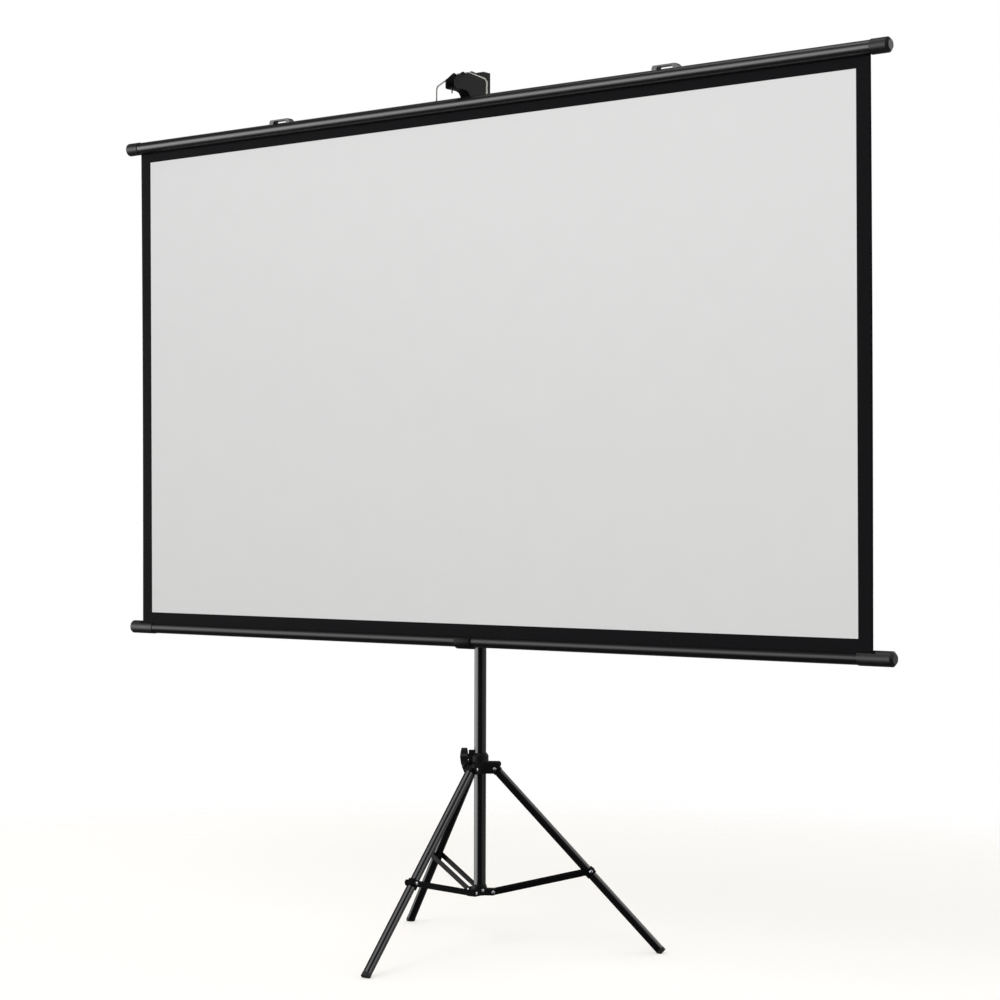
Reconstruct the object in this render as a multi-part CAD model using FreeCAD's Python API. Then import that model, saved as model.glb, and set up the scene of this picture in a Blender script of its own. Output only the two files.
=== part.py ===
import FreeCAD, Part
import math
import os

# Portable tripod projection screen, 100 inch diagonal, 16:9, set up as in use.
# Millimetres, +Z up, the audience stands at -Y. The model is built about the mast's axis
# and moved at the end, so that the origin is the floor point under the middle of its outline.

# Viewing area and black border of the fabric
VIEW_WIDTH = 2214.0
VIEW_HEIGHT = 1245.0
SIDE_BORDER = 37.0
TOP_BORDER = 26.0
BOTTOM_BORDER = 26.0
FABRIC_THICKNESS = 0.5

# Round bars that carry the fabric: the top bar and the case
BAR_DIAMETER = 32.0
BAR_WALL = 1.2
END_OVERHANG = 49.0
CAP_WALL = 1.4
CAP_END = 10.0
CAP_EDGE = 6.0
TOP_CAP_LENGTH = 46.0
CASE_CAP_LENGTH = 88.0
CASE_CAP_SOCKET = 45.0
CASE_HEIGHT = 772.0
CASE_FORWARD = 58.0
TOP_FORWARD = 82.0
CASE_SLOT = 8.0
TOP_SLOT = 1.6
SPLINE_DIAMETER = 6.0

# Roller in the case
ROLLER_DIAMETER = 16.0
ROLLER_WALL = 1.0
ROLLER_END_GAP = 4.0
WRAP_BUILD = 1.2
PIN_DIAMETER = 6.0
PIN_SEAT = 20.0
BUSH_LENGTH = 20.0
SPRING_ROD_LENGTH = 470.0
SPRING_WALL = 2.0
ANCHOR_LENGTH = 30.0

# Wire bail and wall hangers of the top bar
WIRE_DIAMETER = 4.0
BAIL_SPAN = 160.0
BAIL_FLAT = 50.0
BAIL_SHOULDER = 51.5
BAIL_RISE = 75.0
BAIL_STUB = 12.0
HANGER_SPACING = 1220.0
HANGER_LENGTH = 72.0
HANGER_WIDTH = 18.0
HANGER_GAP = 5.5
HANGER_STRAP = 3.5
HANGER_PAD = 13.0

# Mast
MAST_DIAMETER = 30.0
MAST_WALL = 1.5
MAST_TOP = 1230.0
MAST_OVERLAP = 180.0
UPPER_WALL = 1.2
GUIDE_WALL = 1.0
GUIDE_LENGTH = 40.0
PLUG_LENGTH = 25.0
COLLAR_WALL = 5.0
COLLAR_HEIGHT = 48.0
COLLAR_TAPER = 14.0

# Keystone arm on the mast's head
HEAD_RISE = 89.0
HEAD_HEIGHT = 105.0
HEAD_DEPTH = 33.0
ARM_WIDTH = 31.0
ARM_WALL = 3.0
ARM_REACH = 126.0
NOSE_LOW_RISE = 33.0
NOSE_HIGH_RISE = 54.0
TOOTH_PITCH = 47.0
TOOTH_DEPTH = 10.0
TOOTH_RISE = 2.0
HEAD_EDGE = 5.0
PEG_DIAMETER = 3.6
PEG_LENGTH = 16.0
ARM_SCREW_DIAMETER = 5.0

# Tripod
LEG_DIAMETER = 22.0
LEG_WALL = 1.2
LEG_TURN = 2.5
LEG_PIVOT_STANDOFF = 17.0
LEG_PIVOT_HEIGHT = 452.0
FOOT_CIRCLE = 449.0
FOOT_AXIS_HEIGHT = 8.1
FOOT_DIAMETER = 23.0
FOOT_RIM = 10.0
FOOT_LENGTH = 30.0
HUB_DIAMETER = 42.0
HUB_BELOW_PIVOT = 12.0
HUB_BODY_HEIGHT = 28.5
HUB_COLLAR_HEIGHT = 22.0
HUB_TAPER = 7.0
CLEVIS_TIP = 13.0
CLEVIS_WALL = 7.5
CLEVIS_GAP = 0.5
CLEVIS_CHAMFER = 12.0
CLEVIS_EDGE = 4.0
RIVET_DIAMETER = 6.0
RIVET_HEIGHT = 1.8
LEG_PLUG = 12.0

# Braces and lower hub
BRACE_PIVOT_STANDOFF = 17.6
BRACE_PIVOT_HEIGHT = 145.0
BRACE_ALONG_LEG = 348.0
BRACE_OUTSIDE = 6.0
BRACE_WIDTH = 14.0
BRACE_THICKNESS = 3.0
BRACKET_LENGTH = 18.0
BRACKET_WALL = 1.0
LOWER_DIAMETER = 36.0
LOWER_BELOW_PIVOT = 8.5
LOWER_BODY_HEIGHT = 16.0
LOWER_COLLAR_HEIGHT = 10.5

# Wing knobs, all alike
KNOB_SPAN = 44.0
KNOB_THICKNESS = 9.0
KNOB_DEPTH = 16.0
KNOB_BOSS = 14.0
KNOB_SHANK = 6.0
KNOB_SCREW_RISE = 12.0
KNOB_BOSS_WIDTH = 16.0
KNOB_BOSS_HEIGHT = 28.5
KNOB_STANDOFF = 7.0
KNOB_NECK = 6.0

# Mast clamp and saddle of the case
CLAMP_RISE = 12.0
CLAMP_HEIGHT = 50.0
CLAMP_WALL = 6.0
LINER_WALL = 1.5
SADDLE_WIDTH = 49.0
SADDLE_WALL = 4.3
SADDLE_PLATE = 4.0
SADDLE_PLATE_WIDTH = 36.0
SADDLE_OPENING = 62.0
PIVOT_RISE = 34.0
PIVOT_BOLT = 8.0
PIVOT_HEAD = 14.0
PIVOT_NUT_HEIGHT = 6.0
PIVOT_WASHER = 1.5

# Clearances
SEAT = 0.3
SLIDE = 0.1
RUNNING = 0.06
FIT = 0.1
OVERRUN = 10.0

V = FreeCAD.Vector
X_AXIS = V(1, 0, 0)
Y_AXIS = V(0, 1, 0)
Z_AXIS = V(0, 0, 1)

bar_radius = BAR_DIAMETER / 2
bar_bore = bar_radius - BAR_WALL
bar_half = VIEW_WIDTH / 2 + SIDE_BORDER + END_OVERHANG
fabric_half = VIEW_WIDTH / 2 + SIDE_BORDER
cap_radius = bar_radius + FIT + CAP_WALL
top_height = CASE_HEIGHT + BAR_DIAMETER + TOP_BORDER + VIEW_HEIGHT + BOTTOM_BORDER
head_top = top_height + HEAD_RISE
nose_low = top_height + NOSE_LOW_RISE
nose_high = top_height + NOSE_HIGH_RISE
clamp_low = CASE_HEIGHT + CLAMP_RISE
pivot_height = CASE_HEIGHT + PIVOT_RISE
upper_bottom = MAST_TOP - MAST_OVERLAP
upper_diameter = MAST_DIAMETER - 2 * MAST_WALL - 2 * GUIDE_WALL
leg_pivot_radius = HUB_DIAMETER / 2 + LEG_PIVOT_STANDOFF
clevis_reach = leg_pivot_radius + CLEVIS_TIP
hub_low = LEG_PIVOT_HEIGHT - HUB_BELOW_PIVOT
hub_high = hub_low + HUB_BODY_HEIGHT
hub_top = hub_high + HUB_COLLAR_HEIGHT
hub_screw_height = hub_high + KNOB_SCREW_RISE
brace_pivot_radius = LOWER_DIAMETER / 2 + BRACE_PIVOT_STANDOFF
lower_low = BRACE_PIVOT_HEIGHT - LOWER_BELOW_PIVOT
lower_high = lower_low + LOWER_BODY_HEIGHT
lower_top = lower_high + LOWER_COLLAR_HEIGHT
leg_lean = math.degrees(math.atan2(FOOT_CIRCLE - leg_pivot_radius, LEG_PIVOT_HEIGHT - FOOT_AXIS_HEIGHT))
leg_reach = math.hypot(FOOT_CIRCLE - leg_pivot_radius, LEG_PIVOT_HEIGHT - FOOT_AXIS_HEIGHT)
leg_end = leg_reach + FOOT_AXIS_HEIGHT
leg_angles = [LEG_TURN - 90.0 + 120.0 * turn for turn in range(3)]
knob_angle = LEG_TURN - 150.0
hub_knob_face = HUB_DIAMETER / 2 + KNOB_STANDOFF


def cylinder(radius, length, start, direction):
    return Part.makeCylinder(radius, length, start, direction)


def tube(outer, inner, length, start, direction):
    return cylinder(outer, length, start, direction).cut(cylinder(inner, length, start, direction))


def box(low, high):
    size = high - low
    return Part.makeBox(size.x, size.y, size.z, low)


def prism(points, direction):
    """A closed outline of points, carried along a direction."""
    face = Part.Face(Part.makePolygon(points + [points[0]]))
    return face.extrude(direction)


def turned(outline, start, direction):
    """A solid of revolution: outline holds (place along the axis, radius) pairs."""
    points = [V(radius, 0, place) for place, radius in outline]
    face = Part.Face(Part.makePolygon(points + [points[0]]))
    solid = face.revolve(V(0, 0, 0), Z_AXIS, 360)
    solid.Placement = FreeCAD.Placement(start, FreeCAD.Rotation(Z_AXIS, direction))
    return solid


def on_azimuth(shape, azimuth):
    """Turns a shape that was built with its radius along X to its place round the mast."""
    turned_shape = shape.copy()
    turned_shape.rotate(V(0, 0, 0), Z_AXIS, azimuth)
    return turned_shape


def wire_rod(points, radius):
    """Round wire along a row of points, mitred where it bends."""
    rods = []
    reach = radius * 2
    steps = [(end - start).normalize() for start, end in zip(points, points[1:])]
    for place, along in enumerate(steps):
        before = reach if place else 0
        after = reach if place + 1 < len(steps) else 0
        length = (points[place + 1] - points[place]).Length
        rod = cylinder(radius, length + before + after, points[place] - along * before, along)
        if before:
            rod = rod.cut(cylinder(reach * 2, reach * 2, points[place], -(steps[place - 1] + along)))
        if after:
            rod = rod.cut(cylinder(reach * 2, reach * 2, points[place + 1], along + steps[place + 1]))
        rods.append(rod)
    return fused(rods)


def fused(shapes):
    """One solid of shapes that touch or overlap, joined one after another."""
    solid = shapes[0]
    for shape in shapes[1:]:
        solid = solid.fuse(shape)
    return solid


def bar_cap(length, socket, side):
    """A moulded end cap: a sleeve over the bar, a closed rounded end, side is +1 or -1."""
    bore = bar_radius + FIT
    outline = [
        (0, bore),
        (0, cap_radius),
        (length - CAP_EDGE, cap_radius),
        (length, cap_radius - CAP_EDGE),
        (length, 0),
        (socket, 0),
        (socket, bore),
    ]
    return turned(outline, V(side * (bar_half - length), 0, 0), X_AXIS * side)


def top_bar():
    solid = tube(bar_radius, bar_bore, 2 * (bar_half - CAP_END - SEAT), V(CAP_END + SEAT - bar_half, 0, 0), X_AXIS)
    slot = box(V(-bar_half, -TOP_SLOT / 2, -bar_radius - OVERRUN), V(bar_half, TOP_SLOT / 2, 0))
    solid = solid.cut(slot)
    for side in (-1, 1):
        solid = solid.cut(cylinder(WIRE_DIAMETER / 2 + SEAT, BAR_DIAMETER, V(side * BAIL_SPAN / 2, 0, 0), Z_AXIS))
    return solid


def bail():
    """Spring wire: two legs with slanting shoulders and a flat top, and a foot on each leg in the bar."""
    wire = WIRE_DIAMETER / 2
    low = bar_bore - SEAT - WIRE_DIAMETER
    leg = BAIL_SPAN / 2
    flat = BAIL_FLAT / 2
    points = [V(-leg, 0, low), V(-leg, 0, BAIL_SHOULDER), V(-flat, 0, BAIL_RISE)]
    points += [V(flat, 0, BAIL_RISE), V(leg, 0, BAIL_SHOULDER), V(leg, 0, low)]
    feet = [cylinder(wire, BAIL_STUB, V(side * leg, 0, low + wire), X_AXIS * side) for side in (-1, 1)]
    return fused([wire_rod(points, wire)] + feet)


def hanger(side):
    """A low bridge over the bar that slips onto a wall hook, with a welded pad at each end."""
    half = HANGER_LENGTH / 2
    pad = half - HANGER_PAD
    ramp = HANGER_STRAP
    low = bar_radius - HANGER_STRAP
    crest = bar_radius + HANGER_GAP + HANGER_STRAP
    outline = [
        (-half, low),
        (-half, bar_radius + HANGER_STRAP),
        (-half + ramp, crest),
        (half - ramp * 2, crest),
        (half, bar_radius + HANGER_STRAP),
        (half, low),
        (pad, low),
        (pad, bar_radius),
        (pad - ramp, bar_radius + HANGER_GAP),
        (-pad + ramp, bar_radius + HANGER_GAP),
        (-pad, bar_radius),
        (-pad, low),
    ]
    solid = prism([V(along, -HANGER_WIDTH / 2, height) for along, height in outline], Y_AXIS * HANGER_WIDTH)
    solid = solid.cut(cylinder(bar_radius, 2 * HANGER_LENGTH, V(-HANGER_LENGTH, 0, 0), X_AXIS))
    solid.translate(V(side * HANGER_SPACING / 2, 0, 0))
    return solid


def case_tube():
    half = bar_half - CASE_CAP_LENGTH + CASE_CAP_SOCKET - SEAT
    solid = tube(bar_radius, bar_bore, 2 * half, V(-half, 0, 0), X_AXIS)
    return solid.cut(case_slot(bar_half))


def case_slot(half):
    """The long mouth that the fabric leaves by, above and in front of the roller."""
    middle = -wrap_radius - FABRIC_THICKNESS
    low = V(-half, middle - CASE_SLOT / 2, 0)
    return box(low, V(half, middle + CASE_SLOT / 2, bar_radius + OVERRUN))


def case_cap(side):
    cap = bar_cap(CASE_CAP_LENGTH, CASE_CAP_SOCKET, side)
    seat = cylinder(PIN_DIAMETER / 2 + FIT, PIN_SEAT, V(side * core_face, 0, 0), X_AXIS * side)
    return cap.cut(seat).cut(case_slot(core_face))


wrap_radius = ROLLER_DIAMETER / 2 + WRAP_BUILD
core_face = bar_half - CASE_CAP_LENGTH + CASE_CAP_SOCKET
roller_half = core_face - ROLLER_END_GAP
roller_bore = ROLLER_DIAMETER / 2 - ROLLER_WALL
pin_radius = PIN_DIAMETER / 2


def roller_bush(side):
    """A plastic bush pressed into the roller's end, which turns on the pin or rod."""
    start = V(side * (roller_half - BUSH_LENGTH), 0, 0)
    return tube(roller_bore - FIT / 2, pin_radius + RUNNING, BUSH_LENGTH, start, X_AXIS * side)


def fabric_sheet():
    """One flat sheet from the roller's front, out of the case's mouth, into the top bar's slot."""
    low_y = -CASE_FORWARD - wrap_radius - SEAT - FABRIC_THICKNESS / 2
    low_z = CASE_HEIGHT
    high_y = -TOP_FORWARD
    high_z = top_height - bar_bore + FIT - SEAT
    half = FABRIC_THICKNESS / 2
    outline = [
        V(-fabric_half, low_y - half, low_z),
        V(-fabric_half, low_y + half, low_z),
        V(-fabric_half, high_y + half, high_z),
        V(-fabric_half, high_y - half, high_z),
    ]
    return prism(outline, X_AXIS * (2 * fabric_half))


def saddle():
    """A strap round the case, open at the top for the fabric, with the pivot plate behind it."""
    inner = bar_radius + FIT
    outer = inner + SADDLE_WALL
    half = SADDLE_WIDTH / 2
    strap = tube(outer, inner, SADDLE_WIDTH, V(-half, 0, 0), X_AXIS)
    plate_high = pivot_height - CASE_HEIGHT
    back = outer - SADDLE_WALL / 2
    plate_half = SADDLE_PLATE_WIDTH / 2
    plate = box(V(-plate_half, back, 0), V(plate_half, back + SADDLE_PLATE, plate_high))
    crown = cylinder(plate_half, SADDLE_PLATE, V(0, back, plate_high), Y_AXIS)
    foot = box(V(-plate_half, inner, -SADDLE_WALL), V(plate_half, back, SADDLE_WALL))
    solid = strap.fuse([plate, crown, foot]).cut(cylinder(inner, SADDLE_WIDTH, V(-half, 0, 0), X_AXIS))
    mouth = math.radians(SADDLE_OPENING)
    reach = outer + OVERRUN
    middle = math.radians(90) + math.asin(wrap_radius / bar_radius)
    wedge = [V(-half - OVERRUN, 0, 0)]
    for share in (-0.5, 0.0, 0.5):
        angle = middle + mouth * share
        wedge.append(V(-half - OVERRUN, reach * math.cos(angle), reach * math.sin(angle)))
    solid = solid.cut(prism(wedge, X_AXIS * (SADDLE_WIDTH + 2 * OVERRUN)))
    hole = cylinder(PIVOT_BOLT / 2 + FIT, SADDLE_PLATE + 2 * OVERRUN, V(0, back - OVERRUN, plate_high), Y_AXIS)
    solid = solid.cut(hole).removeSplitter()
    solid.translate(V(0, -CASE_FORWARD, CASE_HEIGHT))
    return solid


plate_back = -CASE_FORWARD + bar_radius + FIT + SADDLE_WALL / 2 + SADDLE_PLATE
clamp_radius = MAST_DIAMETER / 2 + LINER_WALL + FIT + CLAMP_WALL


def mast_clamp():
    """The case's carrier: a sleeve on the mast, a flat boss for the pivot and a boss for the knob."""
    middle = clamp_low + CLAMP_HEIGHT / 2
    high = clamp_low + CLAMP_HEIGHT
    bore = MAST_DIAMETER / 2 + LINER_WALL + FIT
    sleeve = cylinder(clamp_radius, CLAMP_HEIGHT, V(0, 0, clamp_low), Z_AXIS)
    half = SADDLE_PLATE_WIDTH / 2
    boss = box(V(-half, plate_back, clamp_low), V(half, 0, high))
    knob_half = KNOB_BOSS_WIDTH / 2
    knob_face = clamp_radius + KNOB_STANDOFF
    knob_boss = box(V(-knob_half, 0, middle - knob_half), V(knob_half, knob_face, middle + knob_half))
    solid = fused([sleeve, boss, knob_boss])
    solid = solid.cut(cylinder(bore, CLAMP_HEIGHT, V(0, 0, clamp_low), Z_AXIS))
    solid = solid.cut(cylinder(PIVOT_BOLT / 2 + FIT, -plate_back, V(0, plate_back, pivot_height), Y_AXIS))
    solid = solid.cut(cylinder(PIVOT_HEAD / 2 + FIT, -pocket_face, V(0, pocket_face, pivot_height), Y_AXIS))
    return solid.cut(cylinder(KNOB_SHANK / 2 + RUNNING, clamp_radius * 2, V(0, 0, middle), Y_AXIS))


pocket_face = -MAST_DIAMETER / 2 - LINER_WALL - FIT - SEAT - PIVOT_NUT_HEIGHT / 2


def wing_knob(face, tip, height, azimuth):
    """A wing knob with its screw: face is the radius where the boss ends, tip that of the screw's end."""
    shank = cylinder(KNOB_SHANK / 2, face + KNOB_NECK - tip, V(tip, 0, height), X_AXIS)
    neck = cylinder(KNOB_BOSS / 2, KNOB_NECK + KNOB_DEPTH * 0.4 - SEAT, V(face + SEAT, 0, height), X_AXIS)
    root = KNOB_THICKNESS / 2
    half = KNOB_SPAN / 2
    waist = KNOB_BOSS / 2
    start = face + KNOB_NECK
    end = start + KNOB_DEPTH
    outline = [
        (start, -half + root),
        (start + root, -half),
        (end, -half),
        (end, -half + root),
        (start + KNOB_DEPTH * 0.4, -waist),
        (start + KNOB_DEPTH * 0.4, waist),
        (end, half - root),
        (end, half),
        (start + root, half),
        (start, half - root),
    ]
    wings = prism([V(along, -root, height + across) for along, across in outline], Y_AXIS * KNOB_THICKNESS)
    return on_azimuth(fused([wings, neck, shank]), azimuth)


def tapered_collar(low, high, taper, radius):
    """A round body on the mast whose top draws in to the mast."""
    bore = MAST_DIAMETER / 2 + SLIDE
    lip = bore + (radius - bore) / 4
    outline = [(0, bore), (0, radius), (high - low - taper, radius), (high - low, lip), (high - low, bore)]
    return turned(outline, V(0, 0, low), Z_AXIS)


def clevis():
    """Two ears that hold a leg's head: square at the top outside, cut away under the leg."""
    half = LEG_DIAMETER / 2 + CLEVIS_GAP + CLEVIS_WALL
    outline = [
        V(0, -half, hub_low),
        V(clevis_reach - CLEVIS_CHAMFER, -half, hub_low),
        V(clevis_reach, -half, hub_low + CLEVIS_CHAMFER * 1.5),
        V(clevis_reach, -half, hub_high - CLEVIS_EDGE),
        V(clevis_reach - CLEVIS_EDGE, -half, hub_high),
        V(0, -half, hub_high),
    ]
    return prism(outline, Y_AXIS * (2 * half))


def clevis_gap():
    half = LEG_DIAMETER / 2 + CLEVIS_GAP
    start = HUB_DIAMETER / 2
    low = V(start, -half, hub_low - OVERRUN)
    return box(low, V(clevis_reach + OVERRUN, half, hub_high + OVERRUN))


def upper_hub():
    """The sliding hub: a barrel with three clevises, a tapered collar and the knob's boss."""
    barrel = cylinder(HUB_DIAMETER / 2, hub_high - hub_low, V(0, 0, hub_low), Z_AXIS)
    collar = tapered_collar(hub_high, hub_top, HUB_TAPER, HUB_DIAMETER / 2)
    boss_half = KNOB_BOSS_WIDTH / 2
    boss_low = V(0, -boss_half, hub_high - CLEVIS_EDGE)
    boss = box(boss_low, V(hub_knob_face, boss_half, hub_high + KNOB_BOSS_HEIGHT))
    solid = fused([barrel] + [on_azimuth(clevis(), angle) for angle in leg_angles])
    solid = fused([solid, collar, on_azimuth(boss, knob_angle)])
    solid = solid.cut(cylinder(MAST_DIAMETER / 2 + SLIDE, hub_high, V(0, 0, hub_low - OVERRUN), Z_AXIS))
    pin = pivot_hole(leg_pivot_radius, LEG_PIVOT_HEIGHT, RIVET_DIAMETER / 2 + FIT / 2)
    for angle in leg_angles:
        solid = solid.cut(on_azimuth(clevis_gap(), angle)).cut(on_azimuth(pin, angle))
    screw = cylinder(KNOB_SHANK / 2 + RUNNING, hub_knob_face, V(0, 0, hub_screw_height), X_AXIS)
    return solid.cut(on_azimuth(screw, knob_angle))


def pivot_hole(radius_place, height, hole):
    return cylinder(hole, 2 * clevis_reach, V(radius_place, -clevis_reach, height), Y_AXIS)


def pivot_pin(radius_place, height, half_grip):
    """A plain pin across a clevis or a lug, a little proud at both ends."""
    end = half_grip + RIVET_HEIGHT
    return cylinder(RIVET_DIAMETER / 2, 2 * end, V(radius_place, -end, height), Y_AXIS)


def leg_frame(shape, azimuth):
    """Puts a shape built down from (0, 0, 0) along -Z onto the leg's axis."""
    placed = shape.copy()
    placed.rotate(V(0, 0, 0), Y_AXIS, -leg_lean)
    placed.translate(V(leg_pivot_radius, 0, LEG_PIVOT_HEIGHT))
    return on_azimuth(placed, azimuth)


def leg_tube(azimuth):
    radius = LEG_DIAMETER / 2
    length = leg_end - FOOT_RIM
    solid = tube(radius, radius - LEG_WALL, length - LEG_PLUG, V(0, 0, -length), Z_AXIS)
    return leg_frame(solid, azimuth)


def leg_head(azimuth):
    """The plastic head in the leg's upper end, rounded on top, that turns on the clevis pin."""
    radius = LEG_DIAMETER / 2
    half = radius - CLEVIS_GAP
    low = FIT - LEG_PLUG
    dome = cylinder(radius, 2 * half, V(0, -half, 0), Y_AXIS)
    tongue = box(V(-radius, -half, low), V(radius, half, 0))
    dome = dome.cut(box(V(-radius, -radius, -radius), V(radius, radius, 0)))
    spigot = cylinder(radius - LEG_WALL - FIT, LEG_PLUG * 3, V(0, 0, low - LEG_PLUG * 2), Z_AXIS)
    solid = fused([dome, tongue, spigot])
    hole = cylinder(RIVET_DIAMETER / 2 + RUNNING, LEG_DIAMETER, V(0, -radius, 0), Y_AXIS)
    return leg_frame(solid.cut(hole), azimuth)


def leg_foot(azimuth):
    """A rubber plug in the leg's end, with a rim that is cut flat where it stands."""
    rim = cylinder(FOOT_DIAMETER / 2, FOOT_RIM - FIT, V(0, 0, -leg_end), Z_AXIS)
    spigot = cylinder(LEG_DIAMETER / 2 - LEG_WALL - FIT, FOOT_LENGTH, V(0, 0, FOOT_RIM / 2 - leg_end), Z_AXIS)
    reach = FOOT_CIRCLE + FOOT_DIAMETER * 2
    floor = box(V(-reach, -reach, -FOOT_DIAMETER * 2), V(reach, reach, 0))
    return leg_frame(rim.fuse(spigot), azimuth).cut(floor)


def leg_bracket(azimuth):
    """A moulded clip round the leg, deeper outside, with two flat cheeks that the brace's bars stand against."""
    cheek = brace_gap - SEAT
    edge = cheek * 0.6
    outer = BRACE_OUTSIDE + BRACE_WIDTH / 2
    shoulder = outer - cheek + edge
    low = -BRACE_ALONG_LEG - BRACKET_LENGTH / 2
    corners = [(outer, -edge), (outer, edge), (shoulder, cheek), (-edge, cheek)]
    corners += [(-cheek, edge), (-cheek, -edge), (-edge, -cheek), (shoulder, -cheek)]
    block = prism([V(outward, side, low) for outward, side in corners], Z_AXIS * BRACKET_LENGTH)
    bore = cylinder(LEG_DIAMETER / 2 + FIT, BRACKET_LENGTH, V(0, 0, low), Z_AXIS)
    return leg_frame(block.cut(bore), azimuth)


brace_gap = LEG_DIAMETER / 2 + FIT + BRACKET_WALL + SEAT
lean = math.radians(leg_lean)
brace_high_radius = leg_pivot_radius + BRACE_ALONG_LEG * math.sin(lean) + BRACE_OUTSIDE * math.cos(lean)
brace_high = LEG_PIVOT_HEIGHT - BRACE_ALONG_LEG * math.cos(lean) + BRACE_OUTSIDE * math.sin(lean)
brace_run = brace_high_radius - brace_pivot_radius
brace_rise = brace_high - BRACE_PIVOT_HEIGHT
brace_length = math.hypot(brace_run, brace_rise)
brace_angle = math.degrees(math.atan2(brace_rise, brace_run))


def brace_bar(side):
    """One flat steel bar with cropped ends, side is the +1 or -1 face of the leg."""
    radius = BRACE_WIDTH / 2
    crop = radius * 0.4
    near = brace_gap if side > 0 else -brace_gap - BRACE_THICKNESS
    corners = [(-radius, crop), (-crop, radius), (brace_length + crop, radius), (brace_length + radius, crop)]
    corners += [(along, -height) for along, height in reversed(corners)]
    solid = prism([V(along, near, height) for along, height in corners], Y_AXIS * BRACE_THICKNESS)
    for place, hole in ((0, RUNNING), (brace_length, FIT / 2)):
        solid = solid.cut(cylinder(RIVET_DIAMETER / 2 + hole, BRACE_THICKNESS, V(place, near, 0), Y_AXIS))
    return brace_frame(solid)


def brace_frame(shape):
    shape.rotate(V(0, 0, 0), Y_AXIS, -brace_angle)
    shape.translate(V(brace_pivot_radius, 0, BRACE_PIVOT_HEIGHT))
    return shape


def brace_rivet(side):
    """A short rivet in one bar's upper end, clear of the bracket and a little proud outside."""
    length = BRACE_THICKNESS + RIVET_HEIGHT
    return brace_frame(cylinder(RIVET_DIAMETER / 2, length, V(brace_length, side * brace_gap, 0), Y_AXIS * side))


def lower_hub():
    """The hub at the mast's foot: a barrel with a tapered collar and a lug for each brace."""
    radius = LOWER_DIAMETER / 2
    barrel = cylinder(radius, lower_high - lower_low, V(0, 0, lower_low), Z_AXIS)
    collar = tapered_collar(lower_high, lower_top, HUB_TAPER, radius)
    half = brace_gap - SEAT
    end = lower_high - BRACE_PIVOT_HEIGHT
    tip = brace_pivot_radius + end
    outline = [(0, lower_low), (brace_pivot_radius, lower_low), (tip, BRACE_PIVOT_HEIGHT - end / 2)]
    outline += [(tip, BRACE_PIVOT_HEIGHT + end / 2), (tip - end / 2, lower_high), (0, lower_high)]
    lug = prism([V(along, -half, height) for along, height in outline], Y_AXIS * (2 * half))
    solid = fused([barrel] + [on_azimuth(lug, angle) for angle in leg_angles] + [collar])
    seat = lower_low + PIVOT_WASHER
    solid = solid.cut(cylinder(MAST_DIAMETER / 2 + SLIDE, lower_top, V(0, 0, seat), Z_AXIS))
    pin = pivot_hole(brace_pivot_radius, BRACE_PIVOT_HEIGHT, RIVET_DIAMETER / 2 + FIT / 2)
    for angle in leg_angles:
        solid = solid.cut(on_azimuth(pin, angle))
    fixing = cylinder(RIVET_DIAMETER / 2 + FIT / 2, LOWER_DIAMETER, V(0, 0, fixing_height), X_AXIS)
    return solid.cut(on_azimuth(fixing, fixing_angle))


fixing_angle = LEG_TURN - 30.0
fixing_height = lower_high - HUB_TAPER / 2


def hub_rivet():
    """The rivet that fixes the lower hub to the mast, between two lugs."""
    tip = MAST_DIAMETER / 2 + SEAT
    length = LOWER_DIAMETER / 2 + RIVET_HEIGHT - tip
    return on_azimuth(cylinder(RIVET_DIAMETER / 2, length, V(tip, 0, fixing_height), X_AXIS), fixing_angle)


def mast_lower():
    radius = MAST_DIAMETER / 2
    low = lower_low + PIVOT_WASHER + FIT
    return tube(radius, radius - MAST_WALL, MAST_TOP - low, V(0, 0, low), Z_AXIS)


def mast_foot_plug():
    radius = MAST_DIAMETER / 2 - MAST_WALL - FIT
    return cylinder(radius, PLUG_LENGTH, V(0, 0, lower_low + PIVOT_WASHER + FIT), Z_AXIS)


def guide_bush():
    """The plastic bush in the lower tube's mouth that the upper tube slides in."""
    outer = MAST_DIAMETER / 2 - MAST_WALL - FIT / 2
    inner = upper_diameter / 2 + RUNNING
    return tube(outer, inner, GUIDE_LENGTH, V(0, 0, MAST_TOP - GUIDE_LENGTH - SEAT), Z_AXIS)


def lock_collar():
    """The moulded collar on the lower tube's top, with a ledge over its rim and a knob boss."""
    low = MAST_TOP - COLLAR_HEIGHT + COLLAR_TAPER
    ledge = MAST_TOP + SEAT
    high = MAST_TOP + COLLAR_TAPER
    outer = MAST_DIAMETER / 2 + SLIDE + COLLAR_WALL
    mast_bore = MAST_DIAMETER / 2 + SLIDE
    upper_bore = upper_diameter / 2 + SLIDE
    outline = [
        (0, mast_bore),
        (0, outer),
        (ledge - low, outer),
        (high - low, upper_bore + COLLAR_WALL / 2),
        (high - low, upper_bore),
        (ledge - low, upper_bore),
        (ledge - low, mast_bore),
    ]
    solid = turned(outline, V(0, 0, low), Z_AXIS)
    half = KNOB_BOSS_WIDTH / 2
    boss = box(V(-half, 0, lock_height - half), V(half, outer + KNOB_STANDOFF, lock_height + half))
    boss = boss.cut(cylinder(mast_bore + COLLAR_WALL / 2, ledge - low, V(0, 0, low), Z_AXIS))
    hole = cylinder(KNOB_SHANK / 2 + RUNNING, MAST_DIAMETER * 2, V(0, 0, lock_height), Y_AXIS)
    return fused([solid, boss]).cut(hole)


lock_height = MAST_TOP - COLLAR_HEIGHT / 3
lock_face = MAST_DIAMETER / 2 + SLIDE + COLLAR_WALL + KNOB_STANDOFF


def mast_upper():
    radius = upper_diameter / 2
    high = head_top - ARM_WALL - FIT
    return tube(radius, radius - UPPER_WALL, high - upper_bottom, V(0, 0, upper_bottom), Z_AXIS)


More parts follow.
